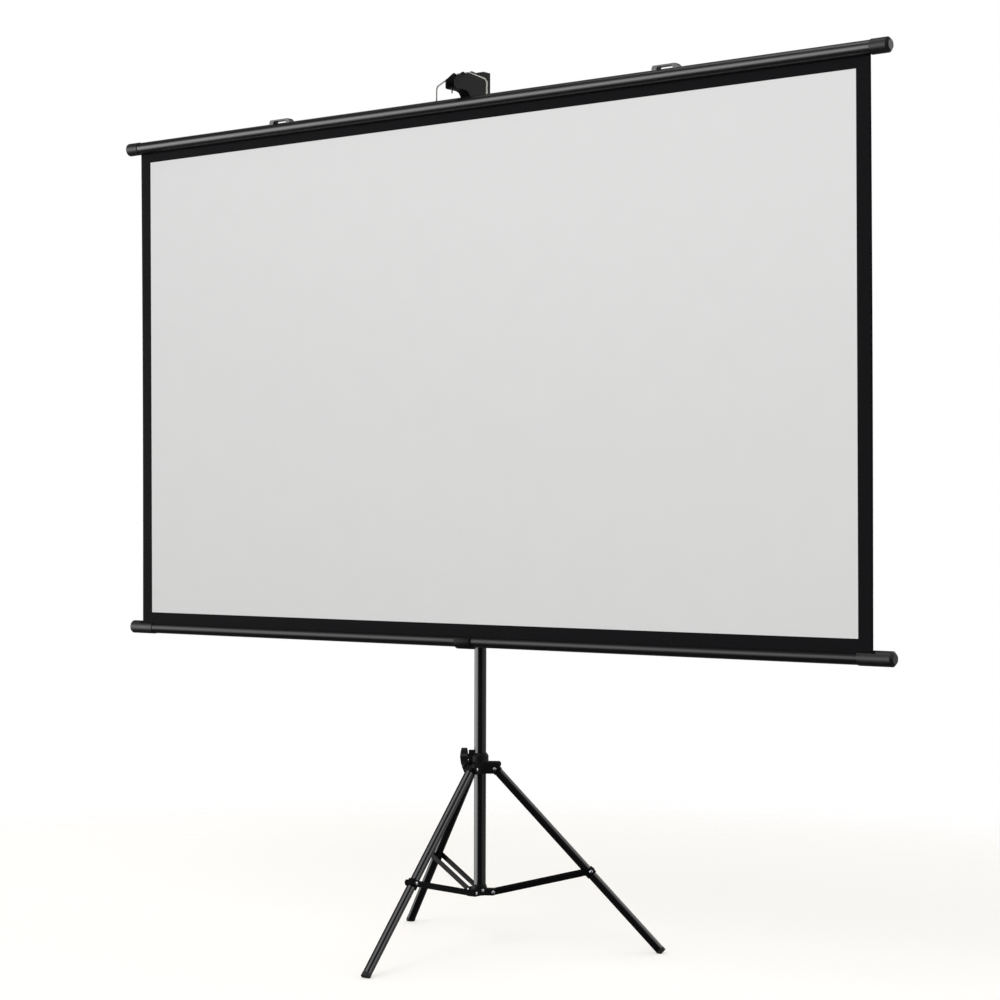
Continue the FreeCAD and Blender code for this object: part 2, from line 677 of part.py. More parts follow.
def upper_guide():
    """The plug on the upper tube's bottom end that runs in the lower tube's bore."""
    outer = MAST_DIAMETER / 2 - MAST_WALL - SLIDE
    spigot = upper_diameter / 2 - UPPER_WALL - FIT
    head = cylinder(outer, BUSH_LENGTH - FIT, V(0, 0, upper_bottom - BUSH_LENGTH), Z_AXIS)
    return head.fuse(cylinder(spigot, BUSH_LENGTH * 2, V(0, 0, upper_bottom - BUSH_LENGTH), Z_AXIS))


def keystone_arm():
    """A moulded head: a socket for the mast and two toothed cheeks that reach forward over a web.
    The outline is drawn in (forward, height) and lies in the YZ plane."""
    half = ARM_WIDTH / 2
    back = -HEAD_DEPTH / 2
    front = HEAD_DEPTH / 2
    low = head_top - HEAD_HEIGHT
    side = TOOTH_PITCH * 0.3
    flat = WIRE_DIAMETER / 2 + SEAT
    behind_bar = TOP_FORWARD - bar_radius
    under_bar = top_height + bar_radius + WIRE_DIAMETER
    root = low + (under_bar - low) * 0.3
    second = TOP_FORWARD - TOOTH_PITCH
    ridge = notch_floor + TOOTH_DEPTH
    outline = [
        (back, low),
        (back, head_top),
        (front - ARM_WALL, head_top),
        (second - flat, notch_floor + TOOTH_RISE),
        (second + flat, notch_floor + TOOTH_RISE),
        (second + side, ridge - TOOTH_RISE / 2),
        (TOP_FORWARD - side * 1.5, ridge),
        (TOP_FORWARD - flat, notch_floor),
        (TOP_FORWARD + flat, notch_floor),
        (TOP_FORWARD + side - flat, notch_floor + TOOTH_RISE * 2),
        (TOP_FORWARD + side + flat, notch_floor + TOOTH_RISE),
        (ARM_REACH, nose_high),
        (ARM_REACH, nose_low + ARM_WALL),
        (ARM_REACH - ARM_WALL, nose_low),
        (TOP_FORWARD + flat, nose_low),
        (TOP_FORWARD - bar_radius / 2, nose_low - ARM_WALL),
        (behind_bar, under_bar),
        (behind_bar - bar_radius / 2, top_height + WIRE_DIAMETER),
        (front, root),
        (front, low),
    ]
    solid = prism([V(-half, -forward, height) for forward, height in outline], X_AXIS * ARM_WIDTH)
    hollow_back = front + ARM_WALL
    inner = half - ARM_WALL
    hollow = [
        (hollow_back, head_top + OVERRUN),
        (ARM_REACH + OVERRUN, head_top + OVERRUN),
        (ARM_REACH + OVERRUN, nose_low + ARM_WALL),
        (TOP_FORWARD - bar_radius / 2, nose_low + ARM_WALL),
        (behind_bar - ARM_WALL, under_bar + ARM_WALL),
        (behind_bar - bar_radius / 2 - ARM_WALL, top_height + WIRE_DIAMETER + ARM_WALL),
        (hollow_back, root + ARM_WALL),
    ]
    cut = prism([V(-inner, -forward, height) for forward, height in hollow], X_AXIS * (2 * inner))
    solid = solid.cut(cut)
    corners = []
    for edge in solid.Edges:
        ends = edge.BoundBox
        upright = ends.ZLength > HEAD_HEIGHT - HEAD_EDGE
        if upright and abs(ends.YMin - HEAD_DEPTH / 2) < FIT:
            corners.append(edge)
    solid = solid.makeFillet(HEAD_EDGE, corners)
    bore_high = head_top - ARM_WALL
    solid = solid.cut(cylinder(upper_diameter / 2 + FIT / 2, bore_high - low, V(0, 0, low), Z_AXIS))
    peg_hole = cylinder(PEG_DIAMETER / 2 + FIT / 2, ARM_WALL * 2, V(0, -peg_forward, nose_low - ARM_WALL / 2), Z_AXIS)
    screw = cylinder(ARM_SCREW_DIAMETER / 2 + FIT / 2, HEAD_DEPTH, V(0, 0, screw_height), Y_AXIS)
    return solid.cut(peg_hole).cut(screw).removeSplitter()


notch_floor = top_height + BAIL_RISE - WIRE_DIAMETER / 2
peg_forward = ARM_REACH - TOOTH_DEPTH * 0.7
screw_height = head_top - HEAD_HEIGHT * 0.6


def arm_peg():
    """A steel peg pressed through the web under the nose."""
    high = nose_low + ARM_WALL + PEG_DIAMETER / 3
    return cylinder(PEG_DIAMETER / 2, PEG_LENGTH, V(0, -peg_forward, high - PEG_LENGTH), Z_AXIS)


def arm_screw():
    """The screw at the back of the head that holds it on the mast."""
    tip = upper_diameter / 2 + SEAT
    length = HEAD_DEPTH / 2 + ARM_SCREW_DIAMETER / 2 - tip
    shank = cylinder(ARM_SCREW_DIAMETER / 2, length, V(0, tip, screw_height), Y_AXIS)
    head_start = V(0, HEAD_DEPTH / 2 + FIT, screw_height)
    return shank.fuse(cylinder(ARM_SCREW_DIAMETER, ARM_SCREW_DIAMETER / 2, head_start, Y_AXIS))


def pivot_bolt():
    """The bolt that the case's saddle hangs on, its head in the pocket of the mast clamp."""
    end = plate_back - SADDLE_PLATE - PIVOT_WASHER - PIVOT_NUT_HEIGHT - 2 * FIT
    head = PIVOT_NUT_HEIGHT / 2 - FIT
    shank = cylinder(PIVOT_BOLT / 2, pocket_face + head - end, V(0, end, pivot_height), Y_AXIS)
    return shank.fuse(cylinder(PIVOT_HEAD / 2, head, V(0, pocket_face + FIT, pivot_height), Y_AXIS))


def pivot_washer():
    face = plate_back - SADDLE_PLATE - PIVOT_WASHER
    return tube(PIVOT_HEAD / 2 + PIVOT_WASHER, PIVOT_BOLT / 2 + FIT, PIVOT_WASHER, V(0, face, pivot_height), Y_AXIS)


def pivot_nut():
    face = plate_back - SADDLE_PLATE - PIVOT_WASHER - FIT
    radius = PIVOT_HEAD / 2 / math.cos(math.radians(30))
    points = []
    for corner in range(6):
        angle = math.radians(60 * corner)
        points.append(V(radius * math.cos(angle), face, pivot_height + radius * math.sin(angle)))
    nut = prism(points, Y_AXIS * -PIVOT_NUT_HEIGHT)
    hole = cylinder(PIVOT_BOLT / 2 + FIT / 2, PIVOT_NUT_HEIGHT, V(0, face, pivot_height), Y_AXIS * -1)
    return nut.cut(hole)


def placed(shape, forward, height):
    shape.translate(V(0, -forward, height))
    return shape


def export(name, shapes):
    """Writes one node, moved from the mast's axis to the part's origin."""
    if not isinstance(shapes, list):
        shapes = [shapes]
    moved = []
    for shape in shapes:
        for solid in shape.Solids:
            piece = solid.copy()
            piece.translate(V(0, origin_shift, 0))
            moved.append(piece)
    result = moved[0] if len(moved) == 1 else Part.makeCompound(moved)
    result.exportStep("parts/" + name + ".step")


foot_places = [FOOT_CIRCLE * math.sin(math.radians(angle)) for angle in leg_angles]
origin_shift = -(min(foot_places) + max(foot_places)) / 2

os.makedirs("parts", exist_ok=True)

# Mast and lower hub
export("mast_lower_tube", mast_lower())
export("mast_foot_plug", mast_foot_plug())
export("mast_guide_bush", guide_bush())
export("mast_lock_collar", lock_collar())
export("mast_lock_knob", wing_knob(lock_face, MAST_DIAMETER / 2 + SEAT, lock_height, 90.0))
export("lower_hub", lower_hub())
export("lower_hub_rivet", hub_rivet())
low_pin = pivot_pin(brace_pivot_radius, BRACE_PIVOT_HEIGHT, brace_gap + BRACE_THICKNESS)
export("brace_pins", [on_azimuth(low_pin, angle) for angle in leg_angles])

# Upper hub
export("upper_hub", upper_hub())
export("hub_knob", wing_knob(hub_knob_face, MAST_DIAMETER / 2 + SEAT, hub_screw_height, knob_angle))
leg_pin = pivot_pin(leg_pivot_radius, LEG_PIVOT_HEIGHT, LEG_DIAMETER / 2 + CLEVIS_GAP + CLEVIS_WALL)
export("leg_pins", [on_azimuth(leg_pin, angle) for angle in leg_angles])

# Legs and braces, numbered from the front leg
for number, angle in enumerate(leg_angles, 1):
    export("leg_tube_%d" % number, leg_tube(angle))
    export("leg_head_%d" % number, leg_head(angle))
    export("leg_foot_%d" % number, leg_foot(angle))
    export("leg_bracket_%d" % number, leg_bracket(angle))
    export("brace_bars_%d" % number, [on_azimuth(brace_bar(side), angle) for side in (-1, 1)])
    export("brace_rivets_%d" % number, [on_azimuth(brace_rivet(side), angle) for side in (-1, 1)])

# Case with its roller
export("case_tube", placed(case_tube(), CASE_FORWARD, CASE_HEIGHT))
export("case_cap_left", placed(case_cap(-1), CASE_FORWARD, CASE_HEIGHT))
export("case_cap_right", placed(case_cap(1), CASE_FORWARD, CASE_HEIGHT))
export("case_saddle", saddle())
clamp_bore = MAST_DIAMETER / 2 + LINER_WALL
liner = tube(clamp_bore, MAST_DIAMETER / 2 + SLIDE, CLAMP_HEIGHT, V(0, 0, clamp_low), Z_AXIS)
clamp_middle = clamp_low + CLAMP_HEIGHT / 2
export("clamp_liner", liner)
export("mast_clamp", mast_clamp())
export("clamp_knob", wing_knob(clamp_radius + KNOB_STANDOFF, clamp_bore + SEAT, clamp_middle, 90.0))
export("pivot_bolt", pivot_bolt())
export("pivot_washer", pivot_washer())
export("pivot_nut", pivot_nut())
idle_length = core_face + PIN_SEAT - FIT - (roller_half - BUSH_LENGTH - OVERRUN)
idle_start = V(-core_face - PIN_SEAT + FIT, 0, 0)
export("idle_pin", placed(cylinder(pin_radius, idle_length, idle_start, X_AXIS), CASE_FORWARD, CASE_HEIGHT))
rod_end = core_face + PIN_SEAT - FIT
rod = cylinder(pin_radius, SPRING_ROD_LENGTH, V(rod_end - SPRING_ROD_LENGTH, 0, 0), X_AXIS)
export("spring_rod", placed(rod, CASE_FORWARD, CASE_HEIGHT))
roller = tube(ROLLER_DIAMETER / 2, roller_bore, 2 * roller_half, V(-roller_half, 0, 0), X_AXIS)
export("roller_tube", placed(roller, CASE_FORWARD, CASE_HEIGHT))
bushes = [placed(roller_bush(side), CASE_FORWARD, CASE_HEIGHT) for side in (-1, 1)]
export("roller_bushes", bushes)
anchor_start = rod_end - SPRING_ROD_LENGTH + ANCHOR_LENGTH / 2
anchor = tube(roller_bore - SEAT, pin_radius + FIT / 2, ANCHOR_LENGTH, V(anchor_start, 0, 0), X_AXIS)
export("spring_anchor", placed(anchor, CASE_FORWARD, CASE_HEIGHT))
spring_outer = roller_bore - SEAT
spring_start = anchor_start + ANCHOR_LENGTH + SEAT
spring_length = roller_half - BUSH_LENGTH - SEAT - spring_start
spring = tube(spring_outer, spring_outer - SPRING_WALL, spring_length, V(spring_start, 0, 0), X_AXIS)
export("roller_spring", placed(spring, CASE_FORWARD, CASE_HEIGHT))
wraps = tube(wrap_radius, ROLLER_DIAMETER / 2 + FIT, 2 * fabric_half, V(-fabric_half, 0, 0), X_AXIS)
export("fabric_wraps", placed(wraps, CASE_FORWARD, CASE_HEIGHT))
export("screen_fabric", fabric_sheet())

# Upper mast with the arm and the top bar that hangs on it
export("mast_upper_tube", mast_upper())
export("mast_upper_guide", upper_guide())
export("keystone_arm", keystone_arm())
export("arm_peg", arm_peg())
export("arm_screw", arm_screw())
export("top_bar", placed(top_bar(), TOP_FORWARD, top_height))
export("top_cap_left", placed(bar_cap(TOP_CAP_LENGTH, TOP_CAP_LENGTH - CAP_END, -1), TOP_FORWARD, top_height))
export("top_cap_right", placed(bar_cap(TOP_CAP_LENGTH, TOP_CAP_LENGTH - CAP_END, 1), TOP_FORWARD, top_height))
spline_radius = SPLINE_DIAMETER / 2
spline_place = V(-fabric_half, 0, spline_radius + FIT - bar_bore)
spline = cylinder(spline_radius, 2 * fabric_half, spline_place, X_AXIS)
export("spline_rod", placed(spline, TOP_FORWARD, top_height))
export("bail", placed(bail(), TOP_FORWARD, top_height))
export("hanger_left", placed(hanger(-1), TOP_FORWARD, top_height))
export("hanger_right", placed(hanger(1), TOP_FORWARD, top_height))
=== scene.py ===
import math

import bmesh
import bpy
import numpy as np
from mathutils import Matrix, Vector


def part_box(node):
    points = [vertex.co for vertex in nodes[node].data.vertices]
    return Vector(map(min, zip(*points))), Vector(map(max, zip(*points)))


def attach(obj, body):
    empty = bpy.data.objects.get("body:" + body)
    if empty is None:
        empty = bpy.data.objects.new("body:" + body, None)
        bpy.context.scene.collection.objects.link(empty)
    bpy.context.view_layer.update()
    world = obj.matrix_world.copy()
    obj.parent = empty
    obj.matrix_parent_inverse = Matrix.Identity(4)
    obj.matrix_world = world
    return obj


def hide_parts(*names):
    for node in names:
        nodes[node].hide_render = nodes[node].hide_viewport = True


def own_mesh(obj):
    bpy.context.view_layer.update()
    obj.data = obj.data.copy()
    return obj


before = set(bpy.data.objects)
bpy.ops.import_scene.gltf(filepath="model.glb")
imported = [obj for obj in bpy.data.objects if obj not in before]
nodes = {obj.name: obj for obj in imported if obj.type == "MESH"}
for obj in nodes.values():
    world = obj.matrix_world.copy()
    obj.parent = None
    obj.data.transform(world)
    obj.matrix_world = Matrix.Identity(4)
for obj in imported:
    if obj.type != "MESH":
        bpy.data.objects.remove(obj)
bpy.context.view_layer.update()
mm = 0.001

# Studio: a white floor that fades into a white backdrop, and a large soft lamp above and in front.
# Black tubes mirror a dark room with a tall softbox on the left, a strip on the right and a box overhead.


def linear(hex_colour):
    """The linear colour of an sRGB hex value, with an alpha of one."""
    parts = [int(hex_colour[place:place + 2], 16) / 255 for place in (1, 3, 5)]
    parts = [part / 12.92 if part <= 0.04045 else ((part + 0.055) / 1.055) ** 2.4 for part in parts]
    return (*parts, 1.0)


def add_node(tree, kind, inputs=None, **settings):
    """Adds a node, sets its properties, and gives each input its value or its link."""
    made = tree.nodes.new(kind)
    for name, value in settings.items():
        setattr(made, name, value)
    for name, value in (inputs or {}).items():
        if isinstance(value, bpy.types.NodeSocket):
            tree.links.new(value, made.inputs[name])
        else:
            made.inputs[name].default_value = value
    return made


def new_material(name, **shader_values):
    """An empty node material with its shader and output joined, and plain values on the shader."""
    material = bpy.data.materials.new(name)
    material.use_nodes = True
    tree = material.node_tree
    tree.nodes.clear()
    shader = add_node(tree, "ShaderNodeBsdfPrincipled")
    add_node(tree, "ShaderNodeOutputMaterial", {"Surface": shader.outputs["BSDF"]})
    for name, value in shader_values.items():
        shader.inputs[name.replace("_", " ")].default_value = value
    return material, tree, shader


FLOOR_WHITE = "#FCFAF6"
FLOOR_MATT = "#C9C7C4"
FLOOR_GLOW = 0.475
FLOOR_REACH = 4.0
FLOOR_DROP = 0.2 * mm
FADE_START, FADE_END = 2.2, 3.4
BACKDROP_STRENGTH = 1.0
ROOM_LIGHT = 0.89
ROOM_DARK = 0.04
# Each mirrored light has a direction, a strength and ramps, from where to where it fades. A side's
# ramp is in cosines of the angle to its direction, and a foot's or a top's in sines of the height.
BACKWARD, BACKDROP_MIRRORED, BACKDROP_SIDE = Vector((-0.616, 0.788, 0.0)), 0.20, (0.3, 0.95)
LEFT_BOX, LEFT_GLOW = Vector((-0.766, -0.643, 0.0)), 4.9
LEFT_SIDE, LEFT_TOP = (0.70, 0.84), (0.10, 0.50)
RIGHT_STRIP, RIGHT_GLOW = Vector((0.788, 0.616, 0.0)), 2.5
RIGHT_SIDE, RIGHT_FOOT, RIGHT_TOP = (0.50, 0.75), (0.08, 0.20), (0.55, 0.80)
RIGHT_FOOT_SHARE = 0.18
TOP_BOX, TOP_GLOW, TOP_SIDE = Vector((-0.12, -0.18, 0.976)), 3.0, (0.88, 0.93)

floor_mesh = bpy.data.meshes.new("floor")
corners = np.array([(-1, -1, 0), (1, -1, 0), (1, 1, 0), (-1, 1, 0)]) * FLOOR_REACH
floor_mesh.from_pydata((corners - (0, 0, FLOOR_DROP)).tolist(), [], [(0, 1, 2, 3)])
floor = bpy.data.objects.new("floor", floor_mesh)
bpy.context.collection.objects.link(floor)
floor_paint, tree, shader = new_material(
    "matt white studio floor", Roughness=0.9, Specular_IOR_Level=0.1)
rays = add_node(tree, "ShaderNodeLightPath")
place = add_node(tree, "ShaderNodeTexCoord")
glow = add_node(tree, "ShaderNodeMath", {
    0: rays.outputs["Is Camera Ray"], 1: FLOOR_GLOW}, operation="MULTIPLY")
tree.links.new(glow.outputs[0], shader.inputs["Emission Strength"])
shader.inputs["Base Color"].default_value = linear(FLOOR_MATT)
shader.inputs["Emission Color"].default_value = linear(FLOOR_WHITE)
distance = add_node(tree, "ShaderNodeVectorMath", {0: place.outputs["Object"]}, operation="LENGTH")
faded = add_node(tree, "ShaderNodeMapRange", {
    "Value": distance.outputs["Value"], "From Min": FADE_START, "From Max": FADE_END},
    interpolation_type="SMOOTHSTEP")
left_out = add_node(tree, "ShaderNodeMath", {
    0: faded.outputs[0], 1: rays.outputs["Is Glossy Ray"]}, operation="MAXIMUM")
clear = add_node(tree, "ShaderNodeBsdfTransparent")
seen_floor = add_node(tree, "ShaderNodeMixShader", {
    0: left_out.outputs[0], 1: shader.outputs[0], 2: clear.outputs[0]})
tree.links.new(seen_floor.outputs[0], tree.nodes["Material Output"].inputs["Surface"])
floor_mesh.materials.append(floor_paint)

world = bpy.data.worlds.new("white studio")
bpy.context.scene.world = world
world.use_nodes = True
tree = world.node_tree
tree.nodes.clear()
rays = add_node(tree, "ShaderNodeLightPath")
place = add_node(tree, "ShaderNodeTexCoord")
split = add_node(tree, "ShaderNodeSeparateXYZ", {0: place.outputs["Generated"]})
steepness = add_node(tree, "ShaderNodeMath", {0: split.outputs["Z"]}, operation="ABSOLUTE")
near_back, near_left, near_right, near_top = (
    add_node(tree, "ShaderNodeVectorMath", {0: place.outputs["Generated"], 1: aim}, operation="DOT_PRODUCT")
    for aim in (BACKWARD, LEFT_BOX, RIGHT_STRIP, TOP_BOX))
behind = add_node(tree, "ShaderNodeMapRange", {
    "Value": near_back.outputs["Value"], "From Min": BACKDROP_SIDE[0], "From Max": BACKDROP_SIDE[1],
    "To Min": ROOM_DARK, "To Max": BACKDROP_MIRRORED})
# A lamp is the product of its fades, and the mirrored room is the sum of the lamps and the backdrop.
left_side, left_top, right_side, right_foot, right_top, top_box = (
    add_node(tree, "ShaderNodeMapRange", {
        "Value": value, "From Min": ramp[0], "From Max": ramp[1], "To Min": first, "To Max": last},
        interpolation_type="SMOOTHSTEP").outputs[0]
    for value, ramp, first, last in (
        (near_left.outputs["Value"], LEFT_SIDE, 0.0, LEFT_GLOW),
        (steepness.outputs[0], LEFT_TOP, 1.0, 0.0),
        (near_right.outputs["Value"], RIGHT_SIDE, 0.0, RIGHT_GLOW),
        (split.outputs["Z"], RIGHT_FOOT, RIGHT_FOOT_SHARE, 1.0),
        (steepness.outputs[0], RIGHT_TOP, 1.0, 0.0),
        (near_top.outputs["Value"], TOP_SIDE, 0.0, TOP_GLOW)))
left_box = add_node(tree, "ShaderNodeMath", {0: left_side, 1: left_top}, operation="MULTIPLY")
right_low = add_node(tree, "ShaderNodeMath", {0: right_side, 1: right_foot}, operation="MULTIPLY")
right_strip = add_node(tree, "ShaderNodeMath", {
    0: right_low.outputs[0], 1: right_top}, operation="MULTIPLY")
sides = add_node(tree, "ShaderNodeMath", {
    0: left_box.outputs[0], 1: right_strip.outputs[0]}, operation="ADD")
lamps = add_node(tree, "ShaderNodeMath", {0: sides.outputs[0], 1: top_box}, operation="ADD")
mirrored = add_node(tree, "ShaderNodeMath", {
    0: lamps.outputs[0], 1: behind.outputs[0]}, operation="ADD")
unseen = add_node(tree, "ShaderNodeMix", {
    0: rays.outputs["Is Glossy Ray"], 2: ROOM_LIGHT, 3: mirrored.outputs[0]})
seen = add_node(tree, "ShaderNodeMix", {
    0: rays.outputs["Is Camera Ray"], 2: unseen.outputs[0], 3: BACKDROP_STRENGTH})
light = add_node(tree, "ShaderNodeBackground", {"Color": (1, 1, 1, 1), "Strength": seen.outputs[0]})
add_node(tree, "ShaderNodeOutputWorld", {"Surface": light.outputs[0]})

LAMP_PLACE, LAMP_TARGET = Vector((0.6, -3.9, 4.0)), Vector((0.0, 0.1, 1.2))
LAMP_SIDE, LAMP_POWER = 2.0, 52.0
lamp = bpy.data.lights.new("overhead softbox", "AREA")
lamp.shape = "SQUARE"
lamp.size = LAMP_SIDE
lamp.energy = LAMP_POWER
lamp_object = bpy.data.objects.new("overhead softbox", lamp)
lamp_object.location = LAMP_PLACE
lamp_object.rotation_euler = (LAMP_TARGET - LAMP_PLACE).to_track_quat("-Z", "Y").to_euler()
bpy.context.collection.objects.link(lamp_object)

# Camera: placed by the corners of the white area, the ends of both bars, the mast and the feet.
CAMERA_FOCUS = 2322.2
CAMERA_PLACE = (3.6121, -4.5440, 1.0677)
CAMERA_YAW, CAMERA_PITCH, CAMERA_ROLL = 38.0105, 0.5311, 0.1608
IMAGE_SIDE = 1000
SENSOR = 36.0

mast_low, mast_high = (np.array(corner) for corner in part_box("mast_lower_tube"))
mast_axis = (mast_low + mast_high) / 2 * (1, 1, 0)
yaw, pitch, roll = (math.radians(angle) for angle in (CAMERA_YAW, CAMERA_PITCH, CAMERA_ROLL))
ahead = Vector((-math.sin(yaw) * math.cos(pitch), math.cos(yaw) * math.cos(pitch), math.sin(pitch)))
level = Vector((math.cos(yaw), math.sin(yaw), 0))
above = level.cross(ahead)
right = level * math.cos(roll) + above * math.sin(roll)
up = above * math.cos(roll) - level * math.sin(roll)
camera_data = bpy.data.cameras.new("camera")
camera_data.sensor_fit = "HORIZONTAL"
camera_data.sensor_width = SENSOR
camera_data.lens = CAMERA_FOCUS / IMAGE_SIDE * SENSOR
camera_data.clip_end = 100
camera = bpy.data.objects.new("camera", camera_data)
turn = Matrix((right, up, -ahead)).transposed().to_4x4()
camera.matrix_world = Matrix.Translation(Vector(CAMERA_PLACE) + Vector(mast_axis)) @ turn
bpy.context.collection.objects.link(camera)
bpy.context.scene.camera = camera
bpy.context.scene.view_settings.view_transform = "Standard"

# Mast and legs: drawn steel tube with a satin black powder coat, baked on. Braces and brackets are
# stamped and coated matt. The coat has a shallow orange peel and cloudy differences in its gloss.
POWDER_BLACK = "#070708"
POWDER_GREYED = "#0D0D0E"
PEEL_MM, PEEL_HEIGHT = 1.4, 0.04 * mm
CLOUD_MM = 45.0
EDGE_MM, EDGE_SEGMENTS = 0.5, 2
EDGE_ANGLE = 32.0
WELD_REACH = 0.01 * mm


def mottled(name, colours, roughnesses, patches, grain=None, relief=None, stretch=None, **shader_values):
    """A finish that varies in patches: a noise mixes two colours and, in the same places, two
    roughnesses. Its relief is a strength and a height, and follows the noise of the grain, or else
    that of the patches. A stretch multiplies the coordinates of both noises."""
    material, tree, shader = new_material(name, **shader_values)
    place = add_node(tree, "ShaderNodeTexCoord").outputs["Object"]
    if stretch:
        place = add_node(tree, "ShaderNodeMapping", {"Vector": place, "Scale": stretch}).outputs[0]
    noises = [add_node(tree, "ShaderNodeTexNoise", {"Vector": place, **noise}).outputs["Fac"]
              for noise in (patches, grain) if noise]
    tone = add_node(tree, "ShaderNodeMix", {
        0: noises[0], 6: linear(colours[0]), 7: linear(colours[1])}, data_type="RGBA")
    gloss = add_node(tree, "ShaderNodeMapRange", {
        "Value": noises[0], "To Min": roughnesses[0], "To Max": roughnesses[1]})
    tree.links.new(tone.outputs[2], shader.inputs["Base Color"])
    tree.links.new(gloss.outputs[0], shader.inputs["Roughness"])
    if relief:
        raised = add_node(tree, "ShaderNodeBump", {
            "Height": noises[-1], "Strength": relief[0], "Distance": relief[1]})
        tree.links.new(raised.outputs[0], shader.inputs["Normal"])
    return material


def finish_nodes(material, *names, edge=0.0):
    """Gives CAD nodes their finish, and breaks their sharp edges by a width in millimetres."""
    for name in names:
        piece = nodes[name]
        piece.data.materials.clear()
        piece.data.materials.append(material)
        if edge:
            weld = piece.modifiers.new("joined corners", "WELD")
            weld.merge_threshold = WELD_REACH
            bevel = piece.modifiers.new("broken edges", "BEVEL")
            bevel.width = edge * mm
            bevel.segments = EDGE_SEGMENTS
            bevel.limit_method = "ANGLE"
            bevel.angle_limit = math.radians(EDGE_ANGLE)


powder_coat, matt_coat = (
    mottled(name, (POWDER_BLACK, POWDER_GREYED), roughnesses, {"Scale": 1 / (CLOUD_MM * mm), "Detail": 3.0},
            grain={"Scale": 1 / (PEEL_MM * mm), "Detail": 2.0}, relief=(0.2, PEEL_HEIGHT),
            IOR=1.5, Specular_IOR_Level=specular)
    for name, roughnesses, specular in (("satin black powder coat", (0.15, 0.24), 0.5),
                                        ("matt black powder coat", (0.34, 0.46), 0.04)))
for number in (1, 2, 3):
    finish_nodes(powder_coat, f"leg_tube_{number}")
    finish_nodes(matt_coat, f"leg_bracket_{number}", f"brace_bars_{number}")
finish_nodes(powder_coat, "mast_lower_tube", "mast_upper_tube", "hanger_left", "hanger_right")
finish_nodes(powder_coat, "roller_tube", "arm_peg")

# Top bar: extruded aluminium tube, black anodised. The case is steel tube, rolled, welded and painted
# a duller black. Both are drawn lengthwise, which leaves faint streaks about half a millimetre apart.
STREAK_DARK = "#0D0D0E"
STREAK_PALE = "#141415"
STREAK_MM, STREAK_HEIGHT = 0.6, 0.03 * mm
STREAK_LENGTH_MM = 260.0

along, around = 1 / (STREAK_LENGTH_MM * mm), 1 / (STREAK_MM * mm)
for name, specular, tube in (("black anodised aluminium", 0.5, "top_bar"),
                             ("black painted steel", 0.2, "case_tube")):
    streaked = mottled(name, (STREAK_DARK, STREAK_PALE), (0.22, 0.36),
                       {"Scale": 1.0, "Detail": 3.0, "Roughness": 0.6}, relief=(0.15, STREAK_HEIGHT),
                       stretch=(along, around, around), IOR=1.55, Specular_IOR_Level=specular)
    finish_nodes(streaked, tube)

# Moulded pieces: caps in black nylon, and the hubs, collar, leg heads, saddle, clamp and arm in a
# duller grade with long glass. The mould is spark eroded, which leaves a fine even grain. It is drawn
# coarser than the real one, which is too fine to show.
NYLON_BLACK = "#0D0D0E"
NYLON_FLOW = "#141415"
GRAIN_MM, GRAIN_HEIGHT = 0.7, 0.06 * mm
FLOW_MM = 26.0

moulded_black, filled_black = (
    mottled(name, (NYLON_BLACK, NYLON_FLOW), (0.36, 0.50),
            {"Scale": 1 / (FLOW_MM * mm), "Detail": 2.0, "Distortion": 0.6},
            grain={"Scale": 1 / (GRAIN_MM * mm), "Detail": 2.0, "Roughness": 0.65},
            relief=(0.35, GRAIN_HEIGHT), IOR=1.53, Specular_IOR_Level=specular)
    for name, specular in (("moulded black nylon", 0.3), ("black nylon with long glass", 0.06)))
finish_nodes(moulded_black, "top_cap_left", "top_cap_right", "case_cap_left", "case_cap_right")
finish_nodes(filled_black, "mast_lock_collar", "upper_hub", "lower_hub", edge=EDGE_MM)
finish_nodes(filled_black, "leg_head_1", "leg_head_2", "leg_head_3", edge=EDGE_MM)
finish_nodes(filled_black, "keystone_arm", "case_saddle", "mast_clamp", edge=EDGE_MM)

# Pins, rivets, bolt, washer, nut and rods: mild steel, bright zinc plated by the barrel. Barrel
# plating leaves a silver surface with a slight blue, and small dull patches a few millimetres wide.
ZINC_BRIGHT = "#C9CDD2"
ZINC_DULL = "#9A9EA4"
PATCH_MM = 3.0

zinc_plate = mottled("zinc plated steel", (ZINC_BRIGHT, ZINC_DULL), (0.22, 0.45),
                     {"Scale": 1 / (PATCH_MM * mm), "Detail": 4.0}, Metallic=1.0)
finish_nodes(zinc_plate, "leg_pins", "brace_pins", "lower_hub_rivet", "arm_screw")
finish_nodes(zinc_plate, "brace_rivets_1", "brace_rivets_2", "brace_rivets_3")
finish_nodes(zinc_plate, "pivot_bolt", "pivot_washer", "pivot_nut", "idle_pin", "spring_rod")

# Running parts: bushes, mast plugs, the clamp's liner, the spring's anchor and the spline that
# holds the cloth. Natural nylon, milky and slightly see-through at thin edges, with a dull gloss.
NYLON_NATURAL = "#DAD5C4"
NYLON_MILKY = "#E6E2D6"
MILK_MM = 12.0

natural_nylon = mottled("natural nylon", (NYLON_NATURAL, NYLON_MILKY), (0.38, 0.52),
                        {"Scale": 1 / (MILK_MM * mm), "Detail": 2.0},
                        IOR=1.53, Subsurface_Weight=0.15, Subsurface_Scale=0.002)
finish_nodes(natural_nylon, "mast_guide_bush", "mast_upper_guide", "mast_foot_plug", "clamp_liner")
finish_nodes(natural_nylon, "roller_bushes", "spring_anchor", "spline_rod")

